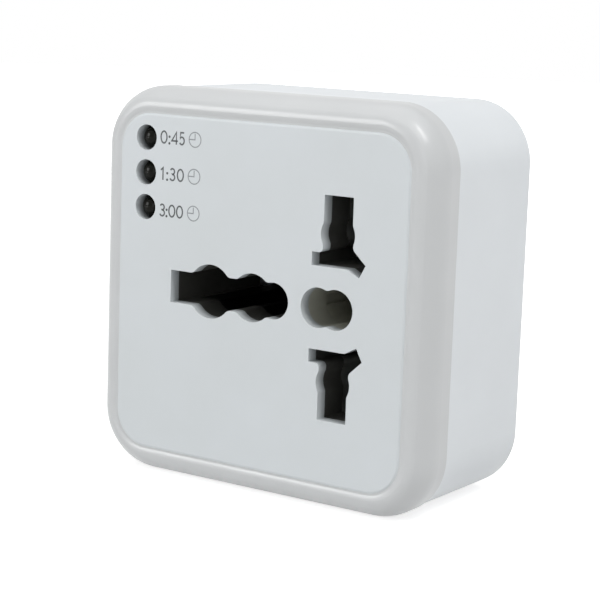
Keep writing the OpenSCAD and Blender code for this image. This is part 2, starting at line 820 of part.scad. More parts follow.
module earth_contact() {
    color("lightslategray") {
        slab(y_face + contact_depth, y_earth_web + eps) {
            intersection() {
                strip_round() {
                    earth_slot(strip_out);
                    earth_slot(strip_clear);
                }
                earth_contact_zone(0);
            }
            intersection() {
                strip_round() {
                    centre_slot(strip_out);
                    centre_slot(strip_clear);
                }
                both_lines() translate([line_x - zone, core_wall / 2]) square([2 * zone, zone]);
            }
        }
        slab(y_earth_web, y_earth_web + strip_t) {
            round_rect([earth_end_x + contact_end, -web_z], [line_x + centre_r + strip_out, web_z], 1);
            translate([-earth_tab_w / 2, 0]) square([earth_tab_w, web_z + earth_tab_l]);
        }
    }
}

// ---------------------------------------------------------------- plug

module line_pin(at) {
    color("tan") {
        translate([at[0], y_inner - head_t / 2, at[1]])
            cube([plug_line_w + 2 * head_rim, head_t, plug_line_t + 2 * head_rim], center = true);
        box([at[0] - plug_line_w / 2 + sleeve_t, y_inner - eps, at[1] - plug_line_t / 2 + sleeve_t],
            [at[0] + plug_line_w / 2 - sleeve_t, sleeve_l + eps, at[1] + plug_line_t / 2 - sleeve_t]);
        bevelled_bar(at, plug_line_w, plug_line_t, sleeve_l, plug_line_l);
    }
}

module pin_sleeve(at) {
    s = sleeve_t - seat_gap;
    color("dimgray") difference() {
        box([at[0] - plug_line_w / 2, y_inner + seat_gap, at[1] - plug_line_t / 2],
            [at[0] + plug_line_w / 2, sleeve_l - seat_gap, at[1] + plug_line_t / 2]);
        box([at[0] - plug_line_w / 2 + s, y_inner - 1, at[1] - plug_line_t / 2 + s],
            [at[0] + plug_line_w / 2 - s, sleeve_l + 1, at[1] + plug_line_t / 2 - s]);
    }
}

module live_pin() {
    line_pin(live_at);
}

module neutral_pin() {
    line_pin(neutral_at);
}

module live_pin_sleeve() {
    pin_sleeve(live_at);
}

module neutral_pin_sleeve() {
    pin_sleeve(neutral_at);
}

module earth_pin() {
    color("tan") {
        translate([earth_at[0], y_inner - head_t / 2, earth_at[1]])
            cube([plug_earth_w + 2 * head_rim, head_t, plug_earth_h + 2 * head_rim], center = true);
        bevelled_bar(earth_at, plug_earth_w, plug_earth_h, y_inner - eps, plug_earth_l);
    }
}

// Flat bar from the neutral pin to the neutral contact's tab
module neutral_strap() {
    x0 = neutral_at[0] - neutral_bar_w / 2;
    z0 = -core_z - strip_clear - strip_t - seat_gap;
    color("lightslategray") slab(y_strap, y_head) {
        translate([x0, z0]) square([line_x + tab_w / 2 - x0, neutral_strap_w]);
        translate([x0, z0]) square([neutral_bar_w, neutral_at[1] - z0 + head_rim]);
    }
}

// Cranked bar from the earth pin down to the earth contact's web
module earth_strap() {
    z0 = web_z + earth_tab_l / 3;
    z1 = earth_at[1] - plug_earth_h / 2 - head_rim - strip_t;
    color("lightslategray") translate([-earth_strap_w / 2, 0, 0]) rotate([90, 0, 90])
        linear_extrude(earth_strap_w)
        polygon([[y_strap, z1 - strip_t], [y_strap, earth_at[1]], [y_head, earth_at[1]], [y_head, z1],
            [y_earth_web, z1], [y_earth_web, z0], [y_earth_web - strip_t, z0],
            [y_earth_web - strip_t, z1 - strip_t]]);
}

// ---------------------------------------------------------------- leads

module live_lead() {
    y = y_head - lead_r - seat_gap;
    color("sienna") wire([[live_at[0] - head_t, y, live_lead_z], [lead_x, y, live_lead_z],
        [lead_x, y_board_rear + seat_gap, live_lead_z]], lead_r);
}

module load_lead() {
    z = core_z + strip_clear + strip_t + lead_r + seat_gap;
    y = y_web + strip_t + lead_r;
    x = lead_x - lead_r;
    color("sienna") wire([[line_x, y, z], [x, y, z], [x, y_board_rear + seat_gap, z]], lead_r);
}

module neutral_lead() {
    color("steelblue") wire([[lead_x, y_strap - seat_gap, neutral_lead_z],
        [lead_x, y_board_rear + seat_gap, neutral_lead_z]], lead_r);
}

// ---------------------------------------------------------------- circuit board

module main_board() {
    notch = button_r + button_rim + board_clear;
    color("darkolivegreen") difference() {
        slab(y_board, y_board_rear) difference() {
            round_square(board_half, board_r);
            translate([arm_x0 - board_clear, -notch_z]) square([board_half - arm_x0, 2 * notch_z]);
            translate([board_x1, -board_half - 1]) square([2 * board_half, 2 * board_half + 2]);
            translate([-board_half - 1, -notch])
                square([1 + switch_x - switch_edge + board_half, 2 * notch]);
        }
        turned([-screw_c, y_board - 1, -screw_c])
            cylinder(board_t + 2, screw_r + screw_clear, screw_r + screw_clear);
    }
}

// One 3 mm lamp: domed body, flange with a flat, two legs to the board
module lamp(z) {
    y_tip = y_face + led_recess;
    y_foot = y_tip + led_h;
    turned([-led_x, 0, z]) difference() {
        rotate_extrude() {
            intersection() {
                translate([0, y_tip + led_r]) circle(led_r);
                translate([0, y_tip]) square([led_r, led_r + eps]);
            }
            translate([0, y_tip + led_r]) square([led_r, led_h - led_r]);
            translate([0, y_foot - led_flange_t]) square([led_r + led_rim, led_flange_t]);
        }
        translate([led_r + led_rim / 4, -2 * led_r, y_foot - 2 * led_flange_t])
            cube([led_r, 4 * led_r, 3 * led_flange_t]);
    }
    for (s = [-1, 1])
        translate([s * led_leg_out - led_x, (y_foot + y_board - seat_gap) / 2, z])
            cube([led_leg_t, y_board - y_foot + seat_gap, led_leg_t], center = true);
}

module lamp_45_min() {
    color("darkseagreen") lamp(led_top_z);
}

module lamp_90_min() {
    color("darkseagreen") lamp(led_top_z - led_pitch);
}

module lamp_180_min() {
    color("darkseagreen") lamp(led_top_z - 2 * led_pitch);
}

// ---------------------------------------------------------------- relay

module relay_cover() {
    w = relay_wall;
    color("royalblue") difference() {
        box([relay_x0, y_relay, relay_z0], [relay_x1, y_relay_rear, relay_z1]);
        box([relay_x0 + w, y_relay - 1, relay_z0 + w], [relay_x1 - w, y_relay_rear - w, relay_z1 - w]);
    }
}

// Floor of the relay, with a low rail on each side of the coil
module relay_base() {
    w = relay_wall + seat_gap;
    y1 = y_board_rear + relay_base_t;
    rail_z = flange_half + rail_gap;
    color("darkslategray") {
        box([relay_x0 + w, y_relay, relay_z0 + w], [relay_x1 - w, y1, relay_z1 - w]);
        for (z = [-rail_z - rail_t, rail_z])
            box([relay_x0 + rail_inset, y1 - eps, relay_z + z],
                [pole_x - rail_inset, y1 + rail_h, relay_z + z + rail_t]);
    }
}

// A round bar along x
module bar_x(x0, x1, y, z, r) {
    translate([x0, y, z]) rotate([0, 90, 0]) cylinder(x1 - x0, r, r);
}

// Bobbin, winding, iron core and the yoke that the armature leans on
module relay_coil() {
    x0 = coil_x0;
    x1 = pole_x - pole_t - flange_t;
    y_foot = y_board_rear + relay_base_t + seat_gap;
    z0 = relay_z - flange_half;
    z1 = relay_z + flange_half;
    color("chocolate") {
        for (x = [x0 + yoke_t, x1])
            box([x, y_foot, z0], [x + flange_t, y_coil + flange_half, z1]);
        bar_x(x0 + yoke_t, x1 + flange_t / 2, y_coil, relay_z, coil_r);
        bar_x(x0 + yoke_t / 4, pole_x, y_coil, relay_z, coil_core_r);
        bar_x(pole_x - pole_t - eps, pole_x, y_coil, relay_z, pole_r);
        box([x0, y_foot, z0], [x0 + yoke_t + eps, y_yoke + yoke_t, z1]);
        box([x0, y_yoke - coil_gap - eps, z0], [pole_x - pole_t, y_yoke + yoke_t, z1]);
        box([x0, y_yoke, z0], [armature_x + armature_t, y_yoke + yoke_t, z1]);
    }
}

// Iron plate that turns on its round edge, with the leaf that carries the moving contact
module relay_armature() {
    x1 = armature_x + armature_t;
    color("slategray") {
        box([armature_x, y_board_rear + relay_base_t + 0.6, relay_z - armature_half],
            [x1, y_pivot, relay_z + armature_half]);
        translate([armature_x + armature_t / 2, y_pivot, relay_z - armature_half])
            cylinder(2 * armature_half, armature_t / 2, armature_t / 2);
        box([x1 - eps, y_relay_contact - leaf_half, relay_z - armature_half],
            [x1 + leaf_t, y_relay_contact + leaf_half, relay_contact_z + relay_contact_r]);
        bar_x(x1 - relay_contact_t, x1 + eps, y_relay_contact, relay_contact_z, relay_contact_r);
    }
}

module relay_fixed_contact() {
    x = pole_x - pole_gap;
    y0 = y_board_rear + relay_base_t + seat_gap;
    r = relay_contact_r;
    color("lightslategray") {
        box([x, y0, relay_contact_z - r],
            [x + relay_contact_t, y_relay_contact + leaf_half, relay_contact_z + r]);
        bar_x(x + relay_contact_t - eps, x + 2 * relay_contact_t, y_relay_contact, relay_contact_z, r);
    }
}

// ---------------------------------------------------------------- other parts on the board

module mains_capacitor() {
    color("gold") slab(y_relay, y_relay + film_h)
        round_rect([film_x1 - film_l, film_z0], [film_x1, film_z1], 0.6);
}

// Can with a crimped groove near its foot and a recessed lid
module electrolytic_capacitor() {
    groove_r = 0.7;
    color("midnightblue") turned([can_x, y_relay, can_z]) rotate_extrude() difference() {
        square([can_r, can_h]);
        translate([can_r + groove_r / 2, 2.2 * groove_r]) circle(groove_r);
        translate([-1, can_h - groove_r / 2]) square([can_r * 0.85 + 1, 1]);
    }
}

module varistor() {
    color("steelblue") {
        bar_x(varistor_x - varistor_t / 2, varistor_x + varistor_t / 2,
            y_relay + varistor_lift + varistor_r, varistor_z, varistor_r);
        for (s = [-1, 1]) turned([varistor_x + s * varistor_t / 4, y_relay, varistor_z + s * varistor_r / 2])
            cylinder(varistor_lift + varistor_r / 2, part_leg_r, part_leg_r);
    }
}

module thermal_fuse() {
    y = y_relay + fuse_r + fuse_lift;
    leg_z = fuse_l / 2 + part_leg_r;
    color("darkkhaki") {
        translate([fuse_x, y, fuse_z - fuse_l / 2]) cylinder(fuse_l, fuse_r, fuse_r);
        translate([fuse_x, y, fuse_z - leg_z]) cylinder(2 * leg_z, part_leg_r, part_leg_r);
        for (s = [-1, 1]) turned([fuse_x, y_relay, fuse_z + s * leg_z])
            cylinder(y - y_relay + part_leg_r, part_leg_r, part_leg_r);
    }
}

module controller_chip() {
    w = chip_w / 2;
    reach = w + chip_leg_l;
    color("darkslategray") {
        box([chip_x - w, y_relay + chip_lift, chip_z - chip_l / 2],
            [chip_x + w, y_relay + chip_lift + chip_t, chip_z + chip_l / 2]);
        for (i = [-1.5:1.5]) translate([chip_x, y_relay, chip_z + i * chip_leg_pitch - chip_leg_w / 2]) {
            translate([-reach, 0, 0]) cube([chip_leg_l + eps, chip_t / 2, chip_leg_w]);
            translate([w - eps, 0, 0]) cube([chip_leg_l + eps, chip_t / 2, chip_leg_w]);
        }
    }
}

// ---------------------------------------------------------------- button

module push_switch() {
    bore_r = plunger_r + run_gap;
    color("dimgray") difference() {
        box([switch_x, y_relay, -switch_w / 2], [switch_x1, y_board_rear + switch_h, switch_w / 2]);
        translate([switch_x - 1, y_button, 0]) rotate([0, 90, 0])
            cylinder(1 + plunger_in + button_travel + run_gap, bore_r, bore_r);
    }
}

module switch_plunger() {
    color("black") translate([plunger_tip_x, y_button, 0]) rotate([0, 90, 0])
        cylinder(plunger_out + plunger_in, plunger_r, plunger_r);
}

// Round push button: dished cap, keeper rim inside the wall, stem to the plunger
module timer_button() {
    cap_l = button_out + wall_t + run_gap;
    edge = button_edge_r;
    color("lightgray") translate([-half - button_out, y_button, 0]) rotate([0, 90, 0]) rotate_extrude()
        difference() {
            union() {
                translate([0, edge]) square([button_r, cap_l - edge + eps]);
                square([button_r - edge, edge + eps]);
                translate([button_r - edge, edge]) circle(edge);
                translate([0, cap_l]) square([button_r + button_rim, rim_t]);
                translate([0, cap_l + rim_t - eps]) square([plunger_r + stem_rim, stem_l - seat_gap + eps]);
            }
            translate([-2 * dish_r, -2 * dish_r]) square([2 * dish_r, 4 * dish_r]);
            translate([0, dish_depth - dish_r]) circle(dish_r);
        }
}

front_panel();
bezel_ring();
rear_housing();
socket_core();
live_contact();
neutral_contact();
earth_contact();
live_pin();
neutral_pin();
earth_pin();
live_pin_sleeve();
neutral_pin_sleeve();
neutral_strap();
earth_strap();
live_lead();
load_lead();
neutral_lead();
main_board();
lamp_45_min();
lamp_90_min();
lamp_180_min();
relay_base();
relay_coil();
relay_armature();
relay_fixed_contact();
relay_cover();
mains_capacitor();
electrolytic_capacitor();
varistor();
thermal_fuse();
controller_chip();
push_switch();
switch_plunger();
timer_button();
case_screws();
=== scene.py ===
"""Looks of the plug-in timer switch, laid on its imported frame.

The frame's solids keep their shapes and get procedural finishes. The printed times, the clock
signs, the groove's floor, the coil's winding, and the board's tracks and solder are meshes made
here. Metres, in the frame's axes: +X right seen from the front, +Y to the wall, +Z up. Names that
end in _mm hold millimetres.
"""

import logging
import math
from dataclasses import dataclass, field
from enum import Enum
from typing import Sequence

import bmesh
import bpy
from mathutils import Matrix, Vector


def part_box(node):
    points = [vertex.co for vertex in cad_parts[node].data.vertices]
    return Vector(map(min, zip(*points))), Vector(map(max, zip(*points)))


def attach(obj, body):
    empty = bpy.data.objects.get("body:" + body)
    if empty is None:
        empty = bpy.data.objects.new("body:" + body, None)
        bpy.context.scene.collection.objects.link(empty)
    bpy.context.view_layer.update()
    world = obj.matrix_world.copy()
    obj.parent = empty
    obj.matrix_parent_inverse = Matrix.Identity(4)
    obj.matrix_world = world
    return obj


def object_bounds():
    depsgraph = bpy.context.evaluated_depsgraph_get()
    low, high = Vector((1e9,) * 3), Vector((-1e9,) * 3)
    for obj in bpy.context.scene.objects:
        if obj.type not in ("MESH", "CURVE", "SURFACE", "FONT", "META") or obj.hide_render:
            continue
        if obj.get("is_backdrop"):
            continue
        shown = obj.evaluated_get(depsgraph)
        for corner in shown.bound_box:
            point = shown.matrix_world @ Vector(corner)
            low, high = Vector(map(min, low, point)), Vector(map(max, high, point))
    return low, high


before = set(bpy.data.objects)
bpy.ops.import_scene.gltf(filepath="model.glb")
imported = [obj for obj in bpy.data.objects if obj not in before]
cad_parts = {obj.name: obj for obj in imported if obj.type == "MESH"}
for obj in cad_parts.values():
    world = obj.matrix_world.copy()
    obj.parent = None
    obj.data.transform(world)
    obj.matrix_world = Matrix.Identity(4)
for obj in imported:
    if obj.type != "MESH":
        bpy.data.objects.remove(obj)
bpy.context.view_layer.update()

log = logging.getLogger("timer_switch")

MM = 0.001
FAR_MM = 60.0  # farther from the origin than any piece
TINY = 1e-9  # shorter than this, a stretch has no direction

Colour = tuple[float, float, float]
Point = tuple[float, float]
Spot = tuple[float, float, float]
Tree = bpy.types.ShaderNodeTree
Value = bpy.types.NodeSocket


def srgb(code: str) -> Colour:
    """Turn a colour written as six hex digits into linear values.

    Args:
        code: Red, green and blue, two hex digits each.

    Returns:
        The linear red, green and blue.
    """
    channels = [int(code[i : i + 2], 16) / 255 for i in (0, 2, 4)]
    return tuple(c / 12.92 if c <= 0.04045 else ((c + 0.055) / 1.055) ** 2.4 for c in channels)


def put(
    tree: Tree, kind: str, inputs: dict[str | int, object] | None = None, **settings: object
) -> bpy.types.Node:
    """Add a node, set it up and feed its inputs.

    Args:
        tree: The nodes that it joins.
        kind: Its type, without the leading ShaderNode.
        inputs: What feeds its inputs, by name or place: another node's output or a plain value.
        **settings: The node's own properties, such as operation.

    Returns:
        The new node.
    """
    node = tree.nodes.new(f"ShaderNode{kind}")
    for name, setting in settings.items():
        setattr(node, name, setting)
    for key, source in (inputs or {}).items():
        if isinstance(source, Value):
            tree.links.new(source, node.inputs[key])
        else:
            node.inputs[key].default_value = source
    return node


# ------------------------------------------------------------ effects shared by the finishes


class Effect(Enum):
    """The shader node groups, each built once and placed in every finish that uses it."""

    GRAIN = "moulded_grain"
    TONE = "tone_drift"
    GLOSS = "gloss_drift"
    EDGES = "edge_light"
    STREAKS = "drawn_streaks"
    ZONE = "zone_mask"


@dataclass
class EffectShelf:
    """Builds the shared effect groups on first use and keeps them.

    Attributes:
        made: The groups built so far.
        noise_rough: How strong a noise's finer layers are against the coarser ones.
        noise_range: The part of a noise's range that a drift stretches over.
        streak_squash: How much shorter the noise is along a streak than across it.
        bevel_samples: Samples with which the edges are found.
        flat_cosine: Cosine of the bend at which an edge begins to show.
        sharp_cosine: Cosine of the bend at which it shows fully.
    """

    made: dict[Effect, Tree] = field(default_factory=dict)
    noise_rough: float = 0.55
    noise_range: tuple[float, float] = (0.3, 0.7)
    streak_squash: float = 0.06
    bevel_samples: int = 4
    flat_cosine: float = 0.995
    sharp_cosine: float = 0.75

    def get(self, effect: Effect) -> Tree:
        """Return the node group of an effect, building it the first time.

        Args:
            effect: Which effect to return.

        Returns:
            The effect's node group.
        """
        if effect not in self.made:
            tree = bpy.data.node_groups.new(effect.value, "ShaderNodeTree")
            {
                Effect.GRAIN: self._grain,
                Effect.TONE: self._tone,
                Effect.GLOSS: self._gloss,
                Effect.EDGES: self._edges,
                Effect.STREAKS: self._streaks,
                Effect.ZONE: self._zone,
            }[effect](tree)
            self.made[effect] = tree
            log.info("effect %s", effect.value)
        return self.made[effect]

    @staticmethod
    def _sockets(
        tree: Tree, inputs: dict[str, object], name: str, kind: str = "Float"
    ) -> tuple[bpy.types.NodeOutputs, Value]:
        """Give a group its named sockets.

        Args:
            tree: The group.
            inputs: Each input's name and default value.
            name: Name of the group's output.
            kind: Kind of the output: Float or Color.

        Returns:
            The inputs as the group's nodes see them, and the socket that takes the result.
        """
        for title, value in inputs.items():
            sort = "Float"
            if isinstance(value, tuple):
                sort = "Color" if len(value) == 4 else "Vector"
            socket = tree.interface.new_socket(
                name=title, in_out="INPUT", socket_type=f"NodeSocket{sort}"
            )
            socket.default_value = value
        tree.interface.new_socket(name=name, in_out="OUTPUT", socket_type=f"NodeSocket{kind}")
        given = tree.nodes.new("NodeGroupInput")
        out = tree.nodes.new("NodeGroupOutput")
        return given.outputs, out.inputs[name]

    @staticmethod
    def _place(tree: Tree, size_mm: Value | float) -> Value:
        """Find the point on the piece, in steps of a given size.

        Args:
            tree: The group.
            size_mm: The size of a step.

        Returns:
            The point, as a vector.
        """
        coords = put(tree, "TexCoord").outputs["Object"]
        scale = put(tree, "Math", {0: 1 / MM, 1: size_mm}, operation="DIVIDE").outputs[0]
        return put(tree, "VectorMath", {0: coords, "Scale": scale}, operation="SCALE").outputs[0]

    def _noise(self, tree: Tree, place: Value, detail: float) -> Value:
        """Add a smooth noise.

        Args:
            tree: The group.
            place: Where the noise is read.
            detail: Number of finer layers in it.

        Returns:
            The noise, from 0 to 1.
        """
        layers = {"Scale": 1.0, "Detail": detail, "Roughness": self.noise_rough}
        return put(tree, "TexNoise", layers | {"Vector": place}).outputs["Fac"]

    @staticmethod
    def _times(tree: Tree, one: Value, other: Value | float) -> bpy.types.Node:
        """Return a node that multiplies two values."""
        return put(tree, "Math", {0: one, 1: other}, operation="MULTIPLY")

    def _drift(self, tree: Tree, size_mm: Value, detail: float) -> bpy.types.Node:
        """Stretch a noise over a wider range.

        Args:
            tree: The group.
            size_mm: Size of the noise's patches.
            detail: Number of finer layers in it.

        Returns:
            The node that stretches it, from 0 to 1 unless it is fed otherwise.
        """
        least, most = self.noise_range
        noise = self._noise(tree, self._place(tree, size_mm), detail)
        return put(tree, "MapRange", {"From Min": least, "From Max": most, "Value": noise})

    def _grain(self, tree: Tree) -> None:
        """Build the fine relief of a moulded or cast surface, as a height.

        Args:
            tree: The empty group.
        """
        given, out = self._sockets(tree, {"Size": 0.4, "Depth": 0.5}, "Height")
        noise = self._noise(tree, self._place(tree, given["Size"]), detail=3.0)
        tree.links.new(self._times(tree, noise, given["Depth"]).outputs[0], out)

    def _tone(self, tree: Tree) -> None:
        """Build a colour that drifts a little between two tones over the piece.

        Args:
            tree: The empty group.
        """
        inputs = {"Size": 12.0, "Light": (1.0, 1.0, 1.0, 1.0), "Dark": (0.9, 0.9, 0.9, 1.0)}
        given, out = self._sockets(tree, inputs, "Color", "Color")
        spread = self._drift(tree, given["Size"], detail=4.0).outputs["Result"]
        tones = {"Factor": spread, "A": given["Dark"], "B": given["Light"]}
        tree.links.new(put(tree, "Mix", tones, data_type="RGBA").outputs["Result"], out)

    def _gloss(self, tree: Tree) -> None:
        """Build a roughness that drifts between two values over the piece.

        Args:
            tree: The empty group.
        """
        given, out = self._sockets(tree, {"Size": 3.0, "Smooth": 0.3, "Rough": 0.4}, "Roughness")
        spread = self._drift(tree, given["Size"], detail=5.0)
        tree.links.new(given["Smooth"], spread.inputs["To Min"])
        tree.links.new(given["Rough"], spread.inputs["To Max"])
        tree.links.new(spread.outputs["Result"], out)

    def _edges(self, tree: Tree) -> None:
        """Build a mask that is bright along worn edges and 0 on flat ground.

        Args:
            tree: The empty group.
        """
        given, out = self._sockets(tree, {"Width": 0.2, "Amount": 1.0}, "Mask")
        width = self._times(tree, given["Width"], MM).outputs[0]
        bevel = put(tree, "Bevel", {"Radius": width}, samples=self.bevel_samples)
        shape = put(tree, "NewGeometry").outputs["Normal"]
        normals = {0: bevel.outputs["Normal"], 1: shape}
        cosine = put(tree, "VectorMath", normals, operation="DOT_PRODUCT").outputs["Value"]
        limits = {"From Min": self.flat_cosine, "From Max": self.sharp_cosine, "Value": cosine}
        bend = put(tree, "MapRange", limits).outputs["Result"]
        patchy = self._noise(tree, self._place(tree, given["Width"]), detail=2.0)
        worn = self._times(tree, bend, patchy).outputs[0]
        mask = self._times(tree, worn, given["Amount"])
        mask.use_clamp = True
        tree.links.new(mask.outputs[0], out)

    def _streaks(self, tree: Tree) -> None:
        """Build the long fine lines of rolled or drawn metal, as a height.

        Args:
            tree: The empty group.
        """
        given, out = self._sockets(tree, {"Size": 0.2, "Depth": 0.5}, "Height")
        squash = {0: self._place(tree, given["Size"]), 1: (1.0, self.streak_squash, 1.0)}
        along = put(tree, "VectorMath", squash, operation="MULTIPLY").outputs[0]
        noise = self._noise(tree, along, detail=2.0)
        tree.links.new(self._times(tree, noise, given["Depth"]).outputs[0], out)

    def _zone(self, tree: Tree) -> None:
        """Build a mask that rises from 0 to 1 inside a box.

        Args:
            tree: The empty group.
        """
        inputs = {"Low": (0.0, 0.0, 0.0), "High": (1.0, 1.0, 1.0), "Soft": 0.01}
        given, out = self._sockets(tree, inputs, "Mask")
        place = self._place(tree, size_mm=1.0)
        above = put(tree, "VectorMath", {0: place, 1: given["Low"]}, operation="SUBTRACT")
        below = put(tree, "VectorMath", {0: given["High"], 1: place}, operation="SUBTRACT")
        sides = {0: above.outputs[0], 1: below.outputs[0]}
        least = put(tree, "VectorMath", sides, operation="MINIMUM").outputs[0]
        split = put(tree, "SeparateXYZ", {0: least}).outputs
        depth = split["X"]
        for axis in "YZ":
            depth = put(tree, "Math", {0: depth, 1: split[axis]}, operation="MINIMUM").outputs[0]
        rise = put(tree, "MapRange", {"Value": depth, "From Max": given["Soft"]})
        tree.links.new(rise.outputs["Result"], out)


SHELF = EffectShelf()


# ------------------------------------------------------------ finishes


def place_effect(tree: Tree, effect: Effect, **values: object) -> Value:
    """Place an effect's group in a material.

    Args:
        tree: The material's nodes.
        effect: The effect.
        **values: What the group's inputs are set to.

    Returns:
        The group's output.
    """
    return put(tree, "Group", values, node_tree=SHELF.get(effect)).outputs[0]


@dataclass(frozen=True)
class Finish:
    """A finish: two close tones, a drift of gloss, a fine relief and lighter edges.

    Attributes:
        name: Name of the material.
        light: Lighter tone, as hex digits.
        dark: Darker tone, as hex digits.
        tone_mm: Size of the patches of tone.
        smooth: Roughness where the surface is smoothest.
        rough: Roughness where it is dullest.
        grain_mm: Size of the relief's grain.
        relief: Strength of the relief, from 0 to 1.
        edge: Colour of the edges, as hex digits.
        edge_mm: Width of the edges.
        wear: How far the edge colour shows.
        metallic: 1 for a metal.
        coat: Weight of a clear coat.
        coat_rough: Roughness of the coat.
        specular: Specular level of the surface.
        streaked: Whether the relief is long lines rather than grain.
    """

    name: str
    light: str
    dark: str
    tone_mm: float = 14.0
    smooth: float = 0.3
    rough: float = 0.4
    grain_mm: float = 0.35
    relief: float = 0.04
    edge: str = "ffffff"
    edge_mm: float = 0.15
    wear: float = 0.3
    metallic: float = 0.0
    coat: float = 0.0
    coat_rough: float = 0.1
    specular: float = 0.5
    streaked: bool = False

    def make(self, name: str = "", inlays: Sequence["Inlay"] = ()) -> bpy.types.Material:
        """Return the material, building it the first time.

        Args:
            name: Its name, the finish's own if none is given.
            inlays: Boxes inside which it shows other finishes.

        Returns:
            The material.
        """
        name = name or self.name
        known = bpy.data.materials.get(name)
        if known:
            return known
        material = bpy.data.materials.new(name)
        material.use_nodes = True
        tree = material.node_tree
        shader = tree.nodes["Principled BSDF"]
        shader.inputs["Metallic"].default_value = self.metallic
        shader.inputs["Specular IOR Level"].default_value = self.specular
        shader.inputs["Coat Weight"].default_value = self.coat
        shader.inputs["Coat Roughness"].default_value = self.coat_rough
        looks = {"Base Color": self.colour(tree), "Roughness": self.gloss(tree)}
        for inlay in inlays:
            inlay.lay(tree, shader, looks)
        for socket, source in looks.items():
            tree.links.new(source, shader.inputs[socket])
        self._relief(tree, shader)
        return material

    def colour(self, tree: Tree) -> Value:
        """Place the drifting tone with its lighter edges.

        Args:
            tree: The nodes that get them.

        Returns:
            The colour.
        """
        light, dark = (*srgb(self.light), 1), (*srgb(self.dark), 1)
        tone = place_effect(tree, Effect.TONE, Size=self.tone_mm, Light=light, Dark=dark)
        edges = place_effect(tree, Effect.EDGES, Width=self.edge_mm, Amount=self.wear)
        tones = {"B": (*srgb(self.edge), 1), "Factor": edges, "A": tone}
        return put(tree, "Mix", tones, data_type="RGBA").outputs["Result"]

    def gloss(self, tree: Tree) -> Value:
        """Place the drifting roughness, in patches a quarter as wide as those of the tone.

        Args:
            tree: The nodes that get it.

        Returns:
            The roughness.
        """
        size = self.tone_mm / 4
        return place_effect(tree, Effect.GLOSS, Size=size, Smooth=self.smooth, Rough=self.rough)

    def _relief(self, tree: Tree, shader: bpy.types.ShaderNode) -> None:
        """Feed the shader's Normal from the fine relief.

        Args:
            tree: The material's nodes.
            shader: Its shader.
        """
        effect = Effect.STREAKS if self.streaked else Effect.GRAIN
        height = place_effect(tree, effect, Size=self.grain_mm, Depth=1.0)
        depth = self.grain_mm * MM / 4
        inputs = {"Strength": self.relief, "Distance": depth, "Height": height}
        tree.links.new(put(tree, "Bump", inputs).outputs["Normal"], shader.inputs["Normal"])


@dataclass(frozen=True)
class Inlay:
    """A box inside which a piece shows another finish, such as a chip's body between its legs.

    The inlay brings its colour, roughness and metal. Relief, coat and specular level stay those
    of the finish round it.

    Attributes:
        finish: Finish inside the box.
        low_mm: Lowest corner of the box.
        high_mm: Highest corner of the box.
        soft_mm: Stretch inside the box over which the finish comes in.
    """

    finish: Finish
    low_mm: Spot = (-FAR_MM, -FAR_MM, -FAR_MM)
    high_mm: Spot = (FAR_MM, FAR_MM, FAR_MM)
    soft_mm: float = 0.01

    def lay(self, tree: Tree, shader: bpy.types.ShaderNode, looks: dict[str, Value]) -> None:
        """Mix this finish into the looks that a material has so far.

        Args:
            tree: The material's nodes.
            shader: Its shader, which holds a metallic value if none is in looks.
            looks: What feeds each of the shader's sockets, changed in place.
        """
        mask = place_effect(
            tree, Effect.ZONE, Low=self.low_mm, High=self.high_mm, Soft=self.soft_mm
        )
        tones = {"Factor": mask, "A": looks["Base Color"], "B": self.finish.colour(tree)}
        looks["Base Color"] = put(tree, "Mix", tones, data_type="RGBA").outputs["Result"]
        gloss = {"Factor": mask, "A": looks["Roughness"], "B": self.finish.gloss(tree)}
        looks["Roughness"] = put(tree, "Mix", gloss).outputs["Result"]
        base = shader.inputs["Metallic"].default_value
        if "Metallic" not in looks and base == self.finish.metallic:
            return
        metal = {"Factor": mask, "A": looks.get("Metallic", base), "B": self.finish.metallic}
        looks["Metallic"] = put(tree, "Mix", metal).outputs["Result"]


FACE_PLASTIC = Finish(
    "face_plastic", "cacfd2", "c7ccce", smooth=0.36, rough=0.44, relief=0.05, edge="eef1f2",
)
BEZEL_PLASTIC = Finish(
    "bezel_plastic", "c3c5c6", "bfc1c2", smooth=0.285, rough=0.34, relief=0.03, coat=0.1,
    coat_rough=0.12, specular=0.45, edge="cccecf", wear=0.15,
)
HOUSING_PLASTIC = Finish(
    "housing_plastic", "dce0e3", "d8dcdf", smooth=0.34, rough=0.42, relief=0.04, specular=0.2,
    edge="e9ecee", wear=0.3,
)
BUTTON_PLASTIC = Finish(
    "button_plastic", "e2e4e6", "dcdfe1", smooth=0.285, rough=0.371, relief=0.05,
)
CORE_PLASTIC = Finish(
    "core_plastic", "3b3b38", "333330", tone_mm=5, smooth=0.5, rough=0.65, relief=0.12,
    edge="75756d", wear=0.4,
)
SLEEVE_PLASTIC = Finish(
    "sleeve_plastic", "1c1c1d", "141415", tone_mm=4, smooth=0.42, rough=0.55, relief=0.1,
    edge="3a3a3b",
)
# Painted shade: the contacts' nickel is near black, standing in for the shade deep in the socket's
# slots.
CONTACT_NICKEL_PAINTED_SHADE = Finish(
    "contact_nickel", "232526", "1b1d1e", tone_mm=3, smooth=0.38, rough=0.5, metallic=1, relief=0.2,
    grain_mm=0.12, streaked=True, edge="8d918e",
)
PIN_BRASS = Finish(
    "pin_brass", "c9b07a", "b59a64", tone_mm=4, smooth=0.285, rough=0.391, metallic=1, relief=0.22,
    grain_mm=0.1, streaked=True, edge="e2cf9e", wear=0.5,
)
LAMP_LENS = Finish(
    "lamp_lens", "12130d", "080805", tone_mm=1.6, smooth=0.08, rough=0.13, relief=0.02,
    specular=0.1, edge="1c1f16",
)
# Painted shade: the darker grey of the face's slot walls, past Casing.skin_mm, stands in for the
# shade inside the slots.
FACE_PAINTED_SHADE = Finish(
    "face_painted_shade", "9da2a4", "989d9f", smooth=0.5, rough=0.6, relief=0.05, edge="b9bdbf",
)
